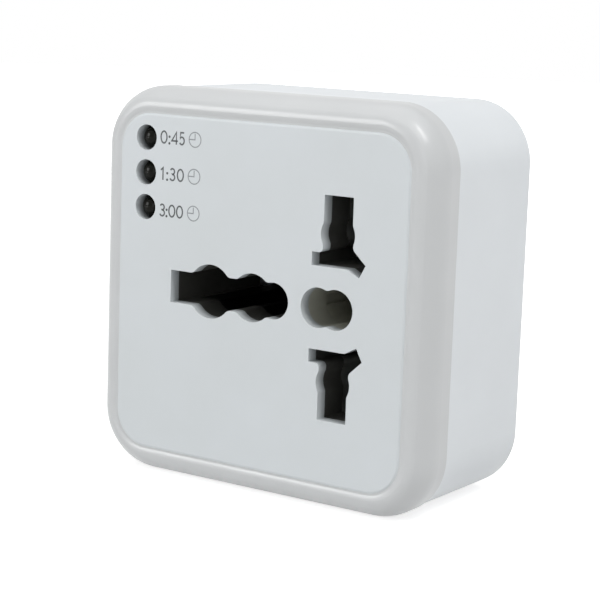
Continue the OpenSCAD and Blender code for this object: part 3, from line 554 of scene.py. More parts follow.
# Painted light: paler copies of the contact metal and the core plastic, laid in the double round
# hole's well to stand in for the light that reaches into it.
CONTACT_PAINTED_LIGHT = Finish(
    "contact_painted_light", "b4b4a8", "a3a398", tone_mm=3, smooth=0.5, rough=0.65, metallic=0.4, relief=0.2,
    edge="b0b0a6", wear=0.3,
)
CORE_PAINTED_LIGHT = Finish(
    "core_painted_light", "a2a298", "96968c", tone_mm=5, smooth=0.5, rough=0.65, relief=0.12, edge="b4b4aa",
    wear=0.4,
)
LEAD_BROWN = Finish(
    "lead_brown", "6b4126", "5a351d", tone_mm=2, smooth=0.35, rough=0.5, relief=0.06, edge="8a5c3c",
)
LEAD_BLUE = Finish(
    "lead_blue", "2f64a8", "27538c", tone_mm=2, smooth=0.35, rough=0.5, relief=0.06, edge="5a86bd",
)
BOARD_LAMINATE = Finish(
    "board_laminate", "2c6b3a", "235a30", tone_mm=2.5, smooth=0.3, rough=0.45, relief=0.15,
    grain_mm=0.3, edge="b9b184", wear=0.7,
)
RELAY_BLUE = Finish(
    "relay_blue", "2b57a0", "244b8c", tone_mm=6, smooth=0.285, rough=0.379, relief=0.05,
    edge="5d82bd",
)
RELAY_BLACK = Finish(
    "relay_black", "242526", "1a1b1c", tone_mm=4, smooth=0.45, rough=0.6, relief=0.12,
    edge="47484a",
)
COIL_COPPER = Finish(
    "coil_copper", "b5693c", "95502a", tone_mm=1.5, smooth=0.285, rough=0.421, metallic=1,
    relief=0.2, grain_mm=0.1, edge="d79468",
)
RELAY_STEEL = Finish(
    "relay_steel", "b9babb", "a3a5a6", tone_mm=3, smooth=0.285, rough=0.401, metallic=1, relief=0.2,
    grain_mm=0.1, streaked=True, edge="dddddd",
)
CAPACITOR_YELLOW = Finish(
    "capacitor_yellow", "d9b92c", "caaa22", tone_mm=5, smooth=0.285, rough=0.421, relief=0.08,
    edge="ecd468",
)
CAPACITOR_SLEEVE = Finish(
    "capacitor_sleeve", "1d2638", "161d2c", tone_mm=3, smooth=0.285, rough=0.359, relief=0.05,
    edge="3b4660",
)
VARISTOR_BLUE = Finish(
    "varistor_blue", "2a5f9e", "234f86", tone_mm=2, smooth=0.285, rough=0.421, relief=0.2,
    grain_mm=0.6, edge="5a86bd",
)
FUSE_TAN = Finish(
    "fuse_tan", "b19a6c", "9c865b", tone_mm=2, smooth=0.4, rough=0.55, relief=0.15, edge="cbb68a",
)
CHIP_BLACK = Finish(
    "chip_black", "1d1d1e", "151516", tone_mm=1.5, smooth=0.5, rough=0.62, relief=0.25,
    grain_mm=0.08, edge="38383a",
)
SCREW_STEEL = Finish(
    "screw_steel", "bfc1c3", "a9abad", tone_mm=2, smooth=0.285, rough=0.399, metallic=1,
    relief=0.15, grain_mm=0.1, edge="e4e5e6", wear=0.6,
)
LEAD_TIN = Finish(
    "lead_tin", "c3c5c6", "adafb1", tone_mm=1.5, smooth=0.285, rough=0.391, metallic=1, relief=0.1,
    grain_mm=0.08, edge="dfe0e1",
)
CAN_ALUMINIUM = Finish(
    "can_aluminium", "c9cacb", "b4b6b8", tone_mm=3, smooth=0.3, rough=0.45, metallic=1, relief=0.1,
    grain_mm=0.1, edge="e2e3e4",
)
TRACK_COPPER = Finish(
    "track_copper", "4f7a3c", "456d35", tone_mm=1.5, smooth=0.285, rough=0.401, relief=0.1,
    grain_mm=0.1, edge="6b9656",
)
SOLDER = Finish(
    "solder", "c4c6c7", "9fa2a4", tone_mm=0.8, smooth=0.285, rough=0.375, metallic=1, relief=0.15,
    grain_mm=0.1, edge="dfe1e2",
)
PRINT_DARK = Finish(
    "print_dark", "505456", "46494b", tone_mm=0.8, smooth=0.5, rough=0.6, relief=0.1, grain_mm=0.08,
    wear=0.0,
)
PRINT_LIGHT = Finish(
    "print_light", "8d9295", "82878a", tone_mm=0.8, smooth=0.5, rough=0.6, relief=0.1,
    grain_mm=0.08, wear=0.0,
)


def dress(finish: Finish, *nodes: str, inlays: Sequence[Inlay] = ()) -> None:
    """Give frame solids a finish.

    Args:
        finish: The finish they get.
        *nodes: Names of the solids.
        inlays: Boxes inside which they show other finishes.
    """
    for name in nodes:
        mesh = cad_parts[name].data
        mesh.materials.clear()
        mesh.materials.append(finish.make(f"{finish.name}_{name}" if inlays else "", inlays))
        log.info("dressed %s in %s", name, finish.name)


def reach_mm(node: str) -> tuple[Vector, Vector]:
    """Return a solid's lowest and highest corner in millimetres."""
    low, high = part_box(node)
    return low / MM, high / MM


def add_piece(name: str, shape: bmesh.types.BMesh, finish: Finish, smooth: bool = False) -> None:
    """Turn a shape into a piece that rides on the case.

    Args:
        name: Name of the piece.
        shape: Its shape, in the frame's place. It is freed.
        finish: Its finish.
        smooth: Whether its faces are shaded as one round surface.
    """
    bmesh.ops.recalc_face_normals(shape, faces=shape.faces)
    mesh = bpy.data.meshes.new(name)
    shape.to_mesh(mesh)
    shape.free()
    if smooth:
        mesh.shade_smooth()
    piece = bpy.data.objects.new(name, mesh)
    bpy.context.scene.collection.objects.link(piece)
    mesh.materials.append(finish.make())
    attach(piece, "case")
    log.info("made %s, %d faces", name, len(mesh.polygons))


# ------------------------------------------------------------ strokes and turned shapes


def arc(
    centre: Point, rx: float, rz: float, start: float, end: float, steps: int = 18
) -> list[Point]:
    """Return points along part of an ellipse.

    Args:
        centre: Its centre.
        rx: Half its width.
        rz: Half its height.
        start: Angle of the first point, in degrees from +x towards +z.
        end: Angle of the last point.
        steps: Number of stretches.

    Returns:
        The points, first to last.
    """
    turns = [math.radians(start + (end - start) * i / steps) for i in range(steps + 1)]
    return [(centre[0] + rx * math.cos(t), centre[1] + rz * math.sin(t)) for t in turns]


def sides(path: Sequence[Point], width: float, closed: bool) -> list[tuple[Point, Point]]:
    """Find both sides of a stroke, mitred at its bends.

    Args:
        path: The stroke's centre line.
        width: Width of the stroke.
        closed: Whether the stroke runs back to its start.

    Returns:
        The left and the right point beside each point of the path.
    """
    sharpest = 0.45  # keeps the mitre of a sharp bend short
    pairs = []
    for i, here in enumerate(path):
        before = path[i - 1] if closed or i else here
        after = path[(i + 1) % len(path)] if closed or i < len(path) - 1 else here
        into = Vector((here[0] - before[0], here[1] - before[1]))
        away = Vector((after[0] - here[0], after[1] - here[1]))
        if into.length < TINY:
            into = away.copy()
        if away.length < TINY:
            away = into.copy()
        into.normalize()
        away.normalize()
        across = Vector((-(into.y + away.y), into.x + away.x))
        across.normalize()
        reach = width / 2 / max(sharpest, across.dot(Vector((-into.y, into.x))))
        left = (here[0] + across.x * reach, here[1] + across.y * reach)
        right = (here[0] - across.x * reach, here[1] - across.y * reach)
        pairs.append((left, right))
    return pairs


def ribbon(
    shape: bmesh.types.BMesh,
    path: Sequence[Point],
    width: float,
    level: float,
    depth: float,
    closed: bool,
) -> None:
    """Add a flat stroke to a shape.

    Args:
        shape: The shape that gets it.
        path: The stroke's centre line, x and z in metres.
        width: Width of the stroke.
        level: Its front, as y.
        depth: Its thickness behind the front.
        closed: Whether the stroke runs back to its start.
    """
    back = level + depth
    rows = []
    for (lx, lz), (rx, rz) in sides(path, width, closed):
        corners = ((lx, level, lz), (rx, level, rz), (rx, back, rz), (lx, back, lz))
        rows.append([shape.verts.new(corner) for corner in corners])
    for i in range(len(path) if closed else len(path) - 1):
        one, other = rows[i], rows[(i + 1) % len(path)]
        for j in range(4):
            k = (j + 1) % 4
            shape.faces.new((one[j], one[k], other[k], other[j]))
    if not closed:
        shape.faces.new(rows[0])
        shape.faces.new(list(reversed(rows[-1])))


def lathe(
    shape: bmesh.types.BMesh, profile: Sequence[Point], place: Matrix, steps: int
) -> None:
    """Add a turned form to a shape.

    Args:
        shape: The shape that gets it.
        profile: Points of its outline: distance from the axis, and place along the axis.
        place: Puts the form, whose axis is z, where it belongs.
        steps: Number of stretches round the axis.
    """
    turns = [2 * math.pi * i / steps for i in range(steps)]
    rings = []
    for radius, along in profile:
        if radius < TINY:
            points = [Vector((0, 0, along))]
        else:
            points = [Vector((radius * math.cos(t), radius * math.sin(t), along)) for t in turns]
        rings.append([shape.verts.new(place @ point) for point in points])
    for one, other in zip(rings, rings[1:]):
        for i in range(steps):
            k = (i + 1) % steps
            corners = [
                one[i % len(one)], one[k % len(one)], other[k % len(other)], other[i % len(other)]
            ]
            shape.faces.new(list(dict.fromkeys(corners)))


# ------------------------------------------------------------ printed times


@dataclass(frozen=True)
class Numeral:
    """Strokes of one figure in a box one unit high.

    Attributes:
        width: Width of the box.
        strokes: Centre line of each stroke.
    """

    width: float
    strokes: tuple[tuple[Point, ...], ...]


def numerals() -> dict[str, Numeral]:
    """Draw the figures that the times need.

    Returns:
        Each figure's strokes, by its character.
    """
    ring = tuple(arc((0.35, 0.5), 0.29, 0.455, 90, 450, 28)[:-1])
    bowl = arc((0.255, 0.735), 0.2, 0.222, 155, -88, 16)
    three = tuple(bowl + arc((0.25, 0.28), 0.235, 0.24, 88, -158, 18))
    flag = ((0.47, 0.955), (0.14, 0.955), (0.1, 0.52))
    five = flag + tuple(arc((0.255, 0.325), 0.235, 0.285, 128, -146, 20))
    dots = tuple(tuple(arc((0.1, z), 0.035, 0.035, 0, 360, 10)) for z in (0.56, 0.05))
    return {
        "0": Numeral(0.7, (ring,)),
        "1": Numeral(0.42, (((0.04, 0.77), (0.26, 0.955), (0.26, 0.0)),)),
        "3": Numeral(0.53, (three,)),
        "4": Numeral(0.66, (((0.48, 0.0), (0.48, 0.94), (0.04, 0.27), (0.63, 0.27)),)),
        "5": Numeral(0.54, (five,)),
        ":": Numeral(0.2, dots),
    }


@dataclass
class HourPrint:
    """One printed line beside a lamp, a time and a clock sign, in millimetres.

    Attributes:
        words: The time's figures.
        name: Name of the piece.
        left: Where the figures begin.
        low: Foot of the figures.
        high: Top of the figures.
        right: Where the figures end.
        sign: Centre of the clock sign.
        sign_r: Radius of the sign.
        sign_steps: Number of stretches round it.
        stroke: Width of the figures' strokes.
        sign_stroke: Width of the sign's strokes.
        proud: How far the ink stands out of the face.
        ink: Thickness of the ink.
        looped: The figures whose strokes run back to their start.
        hand_up: Length of the sign's upright hand, as a part of its radius.
        hand_left: Length of its other hand.
    """

    words: str
    name: str
    left: float
    low: float
    high: float
    right: float
    sign: Point
    sign_r: float = 1.05
    sign_steps: int = 40
    stroke: float = 0.225
    sign_stroke: float = 0.155
    proud: float = 0.004
    ink: float = 0.01
    looped: str = "0:"
    hand_up: float = 0.82
    hand_left: float = 0.95

    def build(self) -> None:
        """Make the figures and the sign on the face."""
        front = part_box("front_panel")[0].y - self.proud * MM
        self._figures(front)
        self._sign(front)

    def _figures(self, front: float) -> None:
        """Make the figures, spaced to fill their line.

        Args:
            front: The front of the ink, as y in metres.
        """
        figures = numerals()
        tall = self.high - self.low
        total = sum(figures[c].width for c in self.words) * tall
        gap = (self.right - self.left - total) / (len(self.words) - 1)
        shape = bmesh.new()
        at = self.left
        for c in self.words:
            for stroke in figures[c].strokes:
                path = [((at + x * tall) * MM, (self.low + z * tall) * MM) for x, z in stroke]
                ribbon(shape, path, self.stroke * MM, front, self.ink * MM, c in self.looped)
            at += figures[c].width * tall + gap
        add_piece(self.name, shape, PRINT_DARK)

    def _sign(self, front: float) -> None:
        """Make the clock sign: a ring with one hand up and one to the left.

        Args:
            front: The front of the ink, as y in metres.
        """
        x, z = self.sign
        r = self.sign_r - self.sign_stroke / 2
        ring = arc(self.sign, r, r, 0, 360, self.sign_steps)[:-1]
        hands = [(x, z + self.hand_up * r), (x, z), (x - self.hand_left * r, z)]
        shape = bmesh.new()
        for line, closed in ((ring, True), (hands, False)):
            path = [(px * MM, pz * MM) for px, pz in line]
            ribbon(shape, path, self.sign_stroke * MM, front, self.ink * MM, closed)
        add_piece(self.name + "_clock", shape, PRINT_LIGHT)


# ------------------------------------------------------------ sub-assemblies


@dataclass
class GrooveLip:
    """The shallow floor of the groove between the socket face and the bezel.

    Attributes:
        half_mm: Half the width of the square that the lip's centre line makes.
        radius_mm: Radius of its corners.
        width_mm: Width of the lip.
        sunk_mm: How far it lies behind the socket face.
        thick_mm: Its thickness.
        corner_steps: Number of stretches in a corner.
    """

    half_mm: float = 22.85
    radius_mm: float = 4.95
    width_mm: float = 0.36
    sunk_mm: float = 0.16
    thick_mm: float = 0.05
    corner_steps: int = 24

    def build(self) -> None:
        """Make the lip all the way round."""
        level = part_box("front_panel")[0].y + self.sunk_mm * MM
        middle = self.half_mm - self.radius_mm
        path = []
        for turn, (x, z) in enumerate(((1, 1), (-1, 1), (-1, -1), (1, -1))):
            centre, start = (x * middle, z * middle), 90 * turn
            path += arc(
                centre, self.radius_mm, self.radius_mm, start, start + 90, self.corner_steps
            )
        shape = bmesh.new()
        line = [(x * MM, z * MM) for x, z in path]
        ribbon(shape, line, self.width_mm * MM, level, self.thick_mm * MM, True)
        add_piece("groove_lip", shape, BEZEL_PLASTIC)


@dataclass
class Casing:
    """Socket face, bezel, housing, button and the printed times.

    Attributes:
        lip: The groove's floor.
        prints: The printed lines, from the top.
        skin_mm: How deep the face keeps its outer tone inside the slots, before painted shade.
        shade_mm: Stretch over which it then darkens to the painted shade of its slot walls.
    """

    lip: GrooveLip = field(default_factory=GrooveLip)
    prints: tuple[HourPrint, ...] = (
        HourPrint("0:45", "print_45_min", -16.07, 18.86, 20.57, -12.0, (-10.3, 19.72)),
        HourPrint("1:30", "print_90_min", -15.95, 14.02, 15.71, -12.0, (-10.32, 14.88)),
        HourPrint("3:00", "print_180_min", -15.95, 9.16, 10.84, -12.0, (-10.3, 10.02)),
    )
    skin_mm: float = 0.45
    shade_mm: float = 1.3

    def build(self) -> None:
        """Make the groove's floor and the printed times."""
        self.lip.build()
        for line in self.prints:
            line.build()

    def dress(self) -> None:
        """Give the casing its plastics and its screws their steel."""
        behind = reach_mm("front_panel")[0].y + self.skin_mm
        # Painted shade: past skin_mm the face's slot walls darken to a grey that stands in for the
        # shade in the slots.
        inside = Inlay(FACE_PAINTED_SHADE, (-FAR_MM, behind, -FAR_MM), soft_mm=self.shade_mm)
        dress(FACE_PLASTIC, "front_panel", inlays=(inside,))
        dress(BEZEL_PLASTIC, "bezel_ring")
        dress(HOUSING_PLASTIC, "rear_housing")
        dress(BUTTON_PLASTIC, "timer_button")
        dress(SCREW_STEEL, "case_screws")


@dataclass
class Socket:
    """Insulating core, contacts, plug pins and the bars between them.

    Attributes:
        well_low_mm: Least x and z of the double round hole's well, painted paler as painted light.
        well_high_mm: Greatest x and z of it.
        well_deep_mm: How far it reaches behind the face.
        well_soft_mm: Stretch over which the painted light comes in.
    """

    well_low_mm: Point = (6.3, -3.3)
    well_high_mm: Point = (15.9, 3.3)
    well_deep_mm: float = 20.0
    well_soft_mm: float = 0.05

    def _painted_light_well(self, finish: Finish) -> Inlay:
        """Return the painted light in the double round hole's well, as an inlay.

        Args:
            finish: The paler copy of a finish that the inlay shows as painted light.

        Returns:
            The inlay.
        """
        face = reach_mm("front_panel")[0].y
        (left, foot), (right, top) = self.well_low_mm, self.well_high_mm
        low, high = (left, face, foot), (right, face + self.well_deep_mm, top)
        return Inlay(finish, low, high, self.well_soft_mm)

    def dress(self) -> None:
        """Give the core, the metal and the leads their finishes."""
        # Painted light: the core and the earth contact turn paler inside the double round hole's
        # well.
        dress(CORE_PLASTIC, "socket_core", inlays=(self._painted_light_well(CORE_PAINTED_LIGHT),))
        # Painted shade: the contacts' near-black nickel stands in for the shade deep in the slots.
        dress(CONTACT_NICKEL_PAINTED_SHADE, "live_contact", "neutral_contact", "neutral_strap", "earth_strap")
        dress(CONTACT_NICKEL_PAINTED_SHADE, "earth_contact", inlays=(self._painted_light_well(CONTACT_PAINTED_LIGHT),))
        dress(PIN_BRASS, "live_pin", "neutral_pin", "earth_pin")
        dress(SLEEVE_PLASTIC, "live_pin_sleeve", "neutral_pin_sleeve")
        dress(LEAD_BROWN, "live_lead", "load_lead")
        dress(LEAD_BLUE, "neutral_lead")


@dataclass
class Winding:
    """The wire on the relay's bobbin, one ridge for each turn that shows.

    Attributes:
        turns: Number of turns side by side.
        wire_mm: How far the wire stands out of the solid winding.
        start_mm: Distance of the winding from the left end of the coil.
        length_mm: Length of the winding.
        radius_mm: Radius of the solid winding.
        drop_mm: Depth of its axis behind the board side of the coil.
        ridge_steps: Number of stretches across one turn's ridge.
        round_steps: Number of stretches round the winding.
    """

    turns: int = 40
    wire_mm: float = 0.09
    start_mm: float = 1.6
    length_mm: float = 9.7
    radius_mm: float = 3.3
    drop_mm: float = 3.75
    ridge_steps: int = 4
    round_steps: int = 40

    def build(self) -> None:
        """Make the winding round the solid one."""
        low, high = reach_mm("relay_coil")
        axis = Vector((low.x + self.start_mm, low.y + self.drop_mm, (low.z + high.z) / 2))
        pitch = self.length_mm / self.turns
        profile = [(self.radius_mm * MM, 0.0)]
        for turn in range(self.turns):
            for step in range(1, self.ridge_steps + 1):
                part = step / self.ridge_steps
                out = self.wire_mm * math.sin(math.pi * part)
                profile.append(((self.radius_mm + out) * MM, (turn + part) * pitch * MM))
        shape = bmesh.new()
        place = Matrix.Translation(axis * MM) @ Matrix.Rotation(math.pi / 2, 4, "Y")
        lathe(shape, profile, place, self.round_steps)
        add_piece("coil_wire", shape, COIL_COPPER, smooth=True)


@dataclass
class BoardTracks:
    """Tracks and solder joints on the side of the board that faces the socket.

    Attributes:
        routes: Each track's points, x and z in millimetres.
        width_mm: Width of a track.
        foil_mm: Thickness of a track.
        bedded_mm: How far a track reaches into the board.
        stagger: How much thicker every second track is, so that none that cross share a level.
        joint_mm: Radius of a solder joint.
        joint_steps: Number of stretches round a joint.
        flare: Outline of a joint, as parts of its radius.
    """

    routes: tuple[tuple[Point, ...], ...] = (
        ((-20.0, 8.0), (-20.0, 20.9), (-17.2, 20.9)),
        ((-20.9, 8.6), (-20.9, 15.2), (-19.4, 15.2)),
        ((-16.6, 9.6), (-14.2, 9.6), (-14.2, 17.6), (-9.0, 17.6)),
        ((-12.0, 8.4), (-12.0, 12.4), (1.6, 12.4), (1.6, 18.0)),
        ((-6.0, 21.6), (2.6, 21.6), (2.6, 9.0)),
        ((-21.4, -9.4), (-21.4, -19.0), (-16.0, -19.0)),
        ((-18.6, -9.0), (-14.0, -9.0), (-14.0, -15.4)),
        ((-9.6, -8.8), (-4.4, -8.8), (-4.4, -14.4), (-2.0, -14.4)),
        ((-16.0, -21.4), (-6.0, -21.4), (3.6, -21.4), (3.6, -12.0)),
        ((-1.6, -10.9), (2.6, -10.9), (2.6, -9.6)),
    )
    width_mm: float = 0.7
    foil_mm: float = 0.035
    bedded_mm: float = 0.005
    stagger: float = 0.1
    joint_mm: float = 0.75
    joint_steps: int = 20
    flare: tuple[Point, ...] = (
        (1.0, 0.0), (0.72, 0.12), (0.45, 0.38), (0.33, 0.62), (0.18, 0.74), (0.0, 0.78)
    )

    def build(self) -> None:
        """Make the tracks and a joint at both ends of each."""
        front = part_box("main_board")[0].y
        self._tracks(front)
        self._joints(front)

    def _tracks(self, front: float) -> None:
        """Make the tracks as one piece.

        Args:
            front: The board's front, as y in metres.
        """
        shape = bmesh.new()
        for i, route in enumerate(self.routes):
            path = [(x * MM, z * MM) for x, z in route]
            lift = self.foil_mm * (1 + self.stagger * (i % 2))
            depth = (lift + self.bedded_mm) * MM
            ribbon(shape, path, self.width_mm * MM, front - lift * MM, depth, False)
        add_piece("board_tracks", shape, TRACK_COPPER)

    def _joints(self, front: float) -> None:
        """Make the solder joints as one piece, each a flared cone with a round tip.

        Args:
            front: The board's front, as y in metres.
        """
        profile = [(r * self.joint_mm * MM, z * self.joint_mm * MM) for r, z in self.flare]
        outward = Matrix.Rotation(math.pi / 2, 4, "X")
        shape = bmesh.new()
        for route in self.routes:
            for x, z in (route[0], route[-1]):
                spot = Matrix.Translation(Vector((x * MM, front, z * MM)))
                lathe(shape, profile, spot @ outward, self.joint_steps)
        add_piece("solder_joints", shape, SOLDER, smooth=True)


@dataclass
class Electronics:
    """The board, the relay and the small parts.

    Attributes:
        winding: The coil's wire.
        tracks: The board's tracks and solder.
        past_mm: How far a part's inlay reaches past the part.
        yoke_mm: Thickness of the iron behind the coil.
        flange_mm: Thickness of the bobbin's flanges.
        can_rim_mm: Width of the sleeve's rim on the capacitor's lid.
        lid_mm: How far before the rim the bare lid's inlay begins and ends.
        chip_leg_mm: Length of the chip's legs on each side.
        fuse_leg_mm: Length of the fuse's wires above and below its body.
        varistor_leg_mm: Length of the varistor's wires.
        lens_mm: Length of a lamp's lens, before its legs.
    """

    winding: Winding = field(default_factory=Winding)
    tracks: BoardTracks = field(default_factory=BoardTracks)
    past_mm: float = 1.0
    yoke_mm: float = 1.0
    flange_mm: float = 0.8
    can_rim_mm: float = 0.6
    lid_mm: tuple[float, float] = (0.5, 0.3)
    chip_leg_mm: float = 1.05
    fuse_leg_mm: float = 0.7
    varistor_leg_mm: float = 1.4
    lens_mm: float = 5.3

    def build(self) -> None:
        """Make the winding, the tracks and the solder."""
        self.winding.build()
        self.tracks.build()

    def dress(self) -> None:
        """Give the electronic parts their finishes."""
        dress(BOARD_LAMINATE, "main_board")
        dress(RELAY_BLACK, "relay_base", "push_switch", "switch_plunger")
        dress(RELAY_BLUE, "relay_cover")
        dress(RELAY_STEEL, "relay_armature")
        dress(CONTACT_NICKEL_PAINTED_SHADE, "relay_fixed_contact")
        dress(CAPACITOR_YELLOW, "mains_capacitor")
        self._coil()
        self._can()
        self._legged()

    @staticmethod
    def _inside(node: str, finish: Finish, low: Spot, high: Spot) -> Inlay:
        """Return an inlay that is set against a solid's box.

        Args:
            node: The solid.
            finish: The inlay's finish.
            low: How far inside the box's low sides it begins, in millimetres, less than 0 outside.
            high: How far inside the box's high sides it ends.

        Returns:
            The inlay.
        """
        least, most = reach_mm(node)
        return Inlay(finish, tuple(least + Vector(low)), tuple(most - Vector(high)))

    def _coil(self) -> None:
        """Dress the iron of the coil, its bobbin's flanges and its winding."""
        low, high = reach_mm("relay_coil")
        under, past = high.y - self.yoke_mm, self.past_mm
        start = low.x + self.winding.start_mm
        end = start + self.winding.length_mm
        inlays = []
        for finish, wider in ((RELAY_BLACK, self.flange_mm), (COIL_COPPER, 0.0)):
            begin = (start - wider, low.y - past, low.z - past)
            inlays.append(Inlay(finish, begin, (end + wider, under, high.z + past)))
        dress(RELAY_STEEL, "relay_coil", inlays=inlays)

    def _can(self) -> None:
        """Dress the electrolytic capacitor's sleeve and its bare lid."""
        low, high = reach_mm("electrolytic_capacitor")
        rim, (begin, end) = self.can_rim_mm, self.lid_mm
        foot = (low.x + rim, high.y - begin, low.z + rim)
        lid = Inlay(CAN_ALUMINIUM, foot, (high.x - rim, high.y - end, high.z - rim))
        dress(CAPACITOR_SLEEVE, "electrolytic_capacitor", inlays=(lid,))

    def _legged(self) -> None:
        """Dress the parts that stand on tinned legs."""
        out, chip, fuse = -self.past_mm, self.chip_leg_mm, self.fuse_leg_mm
        body = self._inside("controller_chip", CHIP_BLACK, (chip, out, out), (chip, out, out))
        dress(LEAD_TIN, "controller_chip", inlays=(body,))
        body = self._inside("thermal_fuse", FUSE_TAN, (out, 0.0, fuse), (out, out, fuse))
        dress(LEAD_TIN, "thermal_fuse", inlays=(body,))
        low, high = reach_mm("varistor")
        rest = high.y - low.y - self.varistor_leg_mm
        wires = self._inside("varistor", LEAD_TIN, (out, out, out), (out, rest, out))
        dress(VARISTOR_BLUE, "varistor", inlays=(wires,))
        for lamp in ("lamp_45_min", "lamp_90_min", "lamp_180_min"):
            legs = self._inside(lamp, LEAD_TIN, (out, self.lens_mm, out), (out, out, out))
            dress(LAMP_LENS, lamp, inlays=(legs,))


# ------------------------------------------------------------ studio


@dataclass(frozen=True)
class SoftBox:
    """A soft rectangular lamp that faces the object.

    Attributes:
        name: Name of the lamp.
        at: Where it hangs, in metres.
        wide: Its width.
        tall: Its height.
        watts: Its power.
    """

    name: str
    at: Spot
    wide: float
    tall: float
    watts: float

    def hang(self) -> None:
        """Put the lamp in the scene."""
        data = bpy.data.lights.new(self.name, "AREA")
        data.shape = "RECTANGLE"
        data.size = self.wide
        data.size_y = self.tall
        data.energy = self.watts
        light = bpy.data.objects.new(self.name, data)
        light.location = self.at
        light.rotation_euler = (-Vector(self.at)).to_track_quat("-Z", "Y").to_euler()
        bpy.context.scene.collection.objects.link(light)


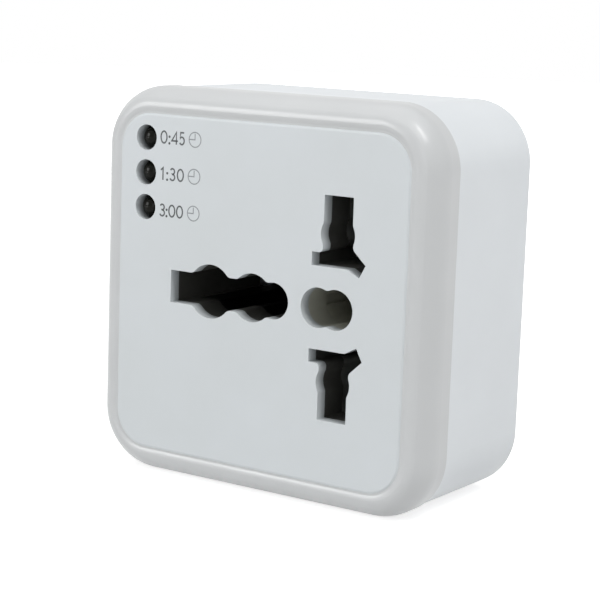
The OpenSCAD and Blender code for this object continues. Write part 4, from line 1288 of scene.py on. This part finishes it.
@dataclass
class Studio:
    """Camera, soft light, white surroundings and the floor.

    Attributes:
        place_mm: Where the camera stands.
        across: The camera's direction to the right.
        upward: The camera's upward direction.
        behind: The camera's direction away from the object.
        lens_mm: Focal length.
        sensor_mm: Width of the sensor.
        reach_m: The nearest and the farthest that the camera sees.
        ambient: Strength of the light that the white surroundings shed.
        boxes: The lamps.
        floor_gap_mm: How far the floor lies below the object.
        floor_radius_m: Radius of the round floor.
        floor_steps: Number of stretches round it.
        floor_tone: How white the floor is.
        floor_rough: Its roughness.
        floor_near: What the floor adds to its own light beside the object, seen by the camera.
        floor_far: The same where the floor runs into the white surroundings.
        floor_span_m: Distances from the object between which the one turns into the other.
    """

    place_mm: Spot = (136.922, -216.602, 39.892)
    across: Spot = (0.823761, 0.5659, 0.034283)
    upward: Spot = (-0.122646, 0.11884, 0.98531)
    behind: Spot = (0.553512, -0.815864, 0.167301)
    lens_mm: float = 110.677
    sensor_mm: float = 36.0
    reach_m: tuple[float, float] = (0.01, 20.0)
    ambient: float = 0.12
    boxes: tuple[SoftBox, ...] = (
        SoftBox("top_box", (0.0, -0.1, 1.3), 2.0, 2.0, 11.6),
        SoftBox("right_box", (1.4, 0.1, 0.5), 1.6, 1.6, 5.9),
        SoftBox("right_front_box", (0.9, -1.1, 0.4), 0.9, 0.9, 3.2),
        SoftBox("left_front_box", (-0.75, -1.0, 0.35), 0.6, 0.5, 7.0),
        SoftBox("rear_box", (0.0, 1.3, 0.15), 1.0, 0.6, 2.4),
        SoftBox("corner_strip", (0.47, -0.19, 0.86), 0.09, 0.5, 3.0),
    )
    floor_gap_mm: float = 0.02
    floor_radius_m: float = 1.2
    floor_steps: int = 96
    floor_tone: float = 0.72
    floor_rough: float = 0.9
    floor_near: float = 0.7
    floor_far: float = 1.0
    floor_span_m: tuple[float, float] = (0.05, 0.35)

    def camera(self) -> None:
        """Stand the camera where the photograph was taken from."""
        data = bpy.data.cameras.new("camera")
        data.sensor_width = self.sensor_mm
        data.lens = self.lens_mm
        data.clip_start, data.clip_end = self.reach_m
        eye = bpy.data.objects.new("camera", data)
        bpy.context.scene.collection.objects.link(eye)
        axes = Matrix((self.across, self.upward, self.behind)).transposed().to_4x4()
        eye.matrix_world = Matrix.Translation(Vector(self.place_mm) * MM) @ axes
        bpy.context.scene.camera = eye

    @staticmethod
    def _seen(tree: Tree) -> Value:
        """Add the mask of what the camera sees straight, in a gloss or through glass.

        Args:
            tree: The nodes that get it.

        Returns:
            The mask, 0 or 1.
        """
        path = put(tree, "LightPath").outputs
        seen = path["Is Camera Ray"]
        for ray in ("Is Glossy Ray", "Is Transmission Ray"):
            seen = put(tree, "Math", {0: seen, 1: path[ray]}, operation="MAXIMUM").outputs[0]
        return seen

    def world(self) -> None:
        """Hang white surroundings to look at, softer for the light that they shed."""
        world = bpy.data.worlds.new("studio_white")
        world.use_nodes = True
        tree = world.node_tree
        tree.nodes.clear()
        out = put(tree, "OutputWorld")
        mix = put(tree, "MixShader", {0: self._seen(tree)})
        for slot, strength in ((1, self.ambient), (2, 1.0)):
            white = put(tree, "Background", {"Color": (1, 1, 1, 1), "Strength": strength})
            tree.links.new(white.outputs[0], mix.inputs[slot])
        tree.links.new(mix.outputs[0], out.inputs["Surface"])
        bpy.context.scene.world = world

    def floor(self) -> None:
        """Lay a round white floor that keeps the object's shadow."""
        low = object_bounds()[0][2] - self.floor_gap_mm * MM
        shape = bmesh.new()
        bmesh.ops.create_circle(
            shape, cap_ends=True, segments=self.floor_steps, radius=self.floor_radius_m
        )
        mesh = bpy.data.meshes.new("floor")
        shape.to_mesh(mesh)
        shape.free()
        floor = bpy.data.objects.new("floor", mesh)
        floor.location = (0, 0, low)
        bpy.context.scene.collection.objects.link(floor)
        mesh.materials.append(self._floor_white())
        floor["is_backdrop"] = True

    def _floor_white(self) -> bpy.types.Material:
        """Make the floor's dull white, which glows more the farther it lies from the object.

        Returns:
            The material.
        """
        material = bpy.data.materials.new("floor_white")
        material.use_nodes = True
        tree = material.node_tree
        shader = tree.nodes["Principled BSDF"]
        tone = self.floor_tone
        shader.inputs["Base Color"].default_value = (tone, tone, tone, 1)
        shader.inputs["Roughness"].default_value = self.floor_rough
        shader.inputs["Specular IOR Level"].default_value = 0.0
        shader.inputs["Emission Color"].default_value = (1, 1, 1, 1)
        coords = put(tree, "TexCoord").outputs["Object"]
        far = put(tree, "VectorMath", {0: coords}, operation="LENGTH").outputs["Value"]
        begin, end = self.floor_span_m
        limits = {
            "From Min": begin,
            "From Max": end,
            "To Min": self.floor_near,
            "To Max": self.floor_far,
            "Value": far,
        }
        glow = put(tree, "MapRange", limits, interpolation_type="SMOOTHSTEP").outputs["Result"]
        lift = put(tree, "Math", {0: glow, 1: self._seen(tree)}, operation="MULTIPLY")
        tree.links.new(lift.outputs[0], shader.inputs["Emission Strength"])
        return material

    def build(self) -> None:
        """Set up everything round the object."""
        bpy.context.scene.view_settings.view_transform = "Standard"
        self.camera()
        self.world()
        for box in self.boxes:
            box.hang()
        self.floor()
        log.info("studio ready, %d lamps", len(self.boxes))


def main() -> None:
    """Build and dress each sub-assembly, then set up the studio round it."""
    logging.basicConfig(level=logging.INFO, format="%(name)s: %(message)s")
    casing = Casing()
    casing.build()
    casing.dress()
    Socket().dress()
    electronics = Electronics()
    electronics.build()
    electronics.dress()
    Studio().build()


if __name__ == "__main__":
    main()
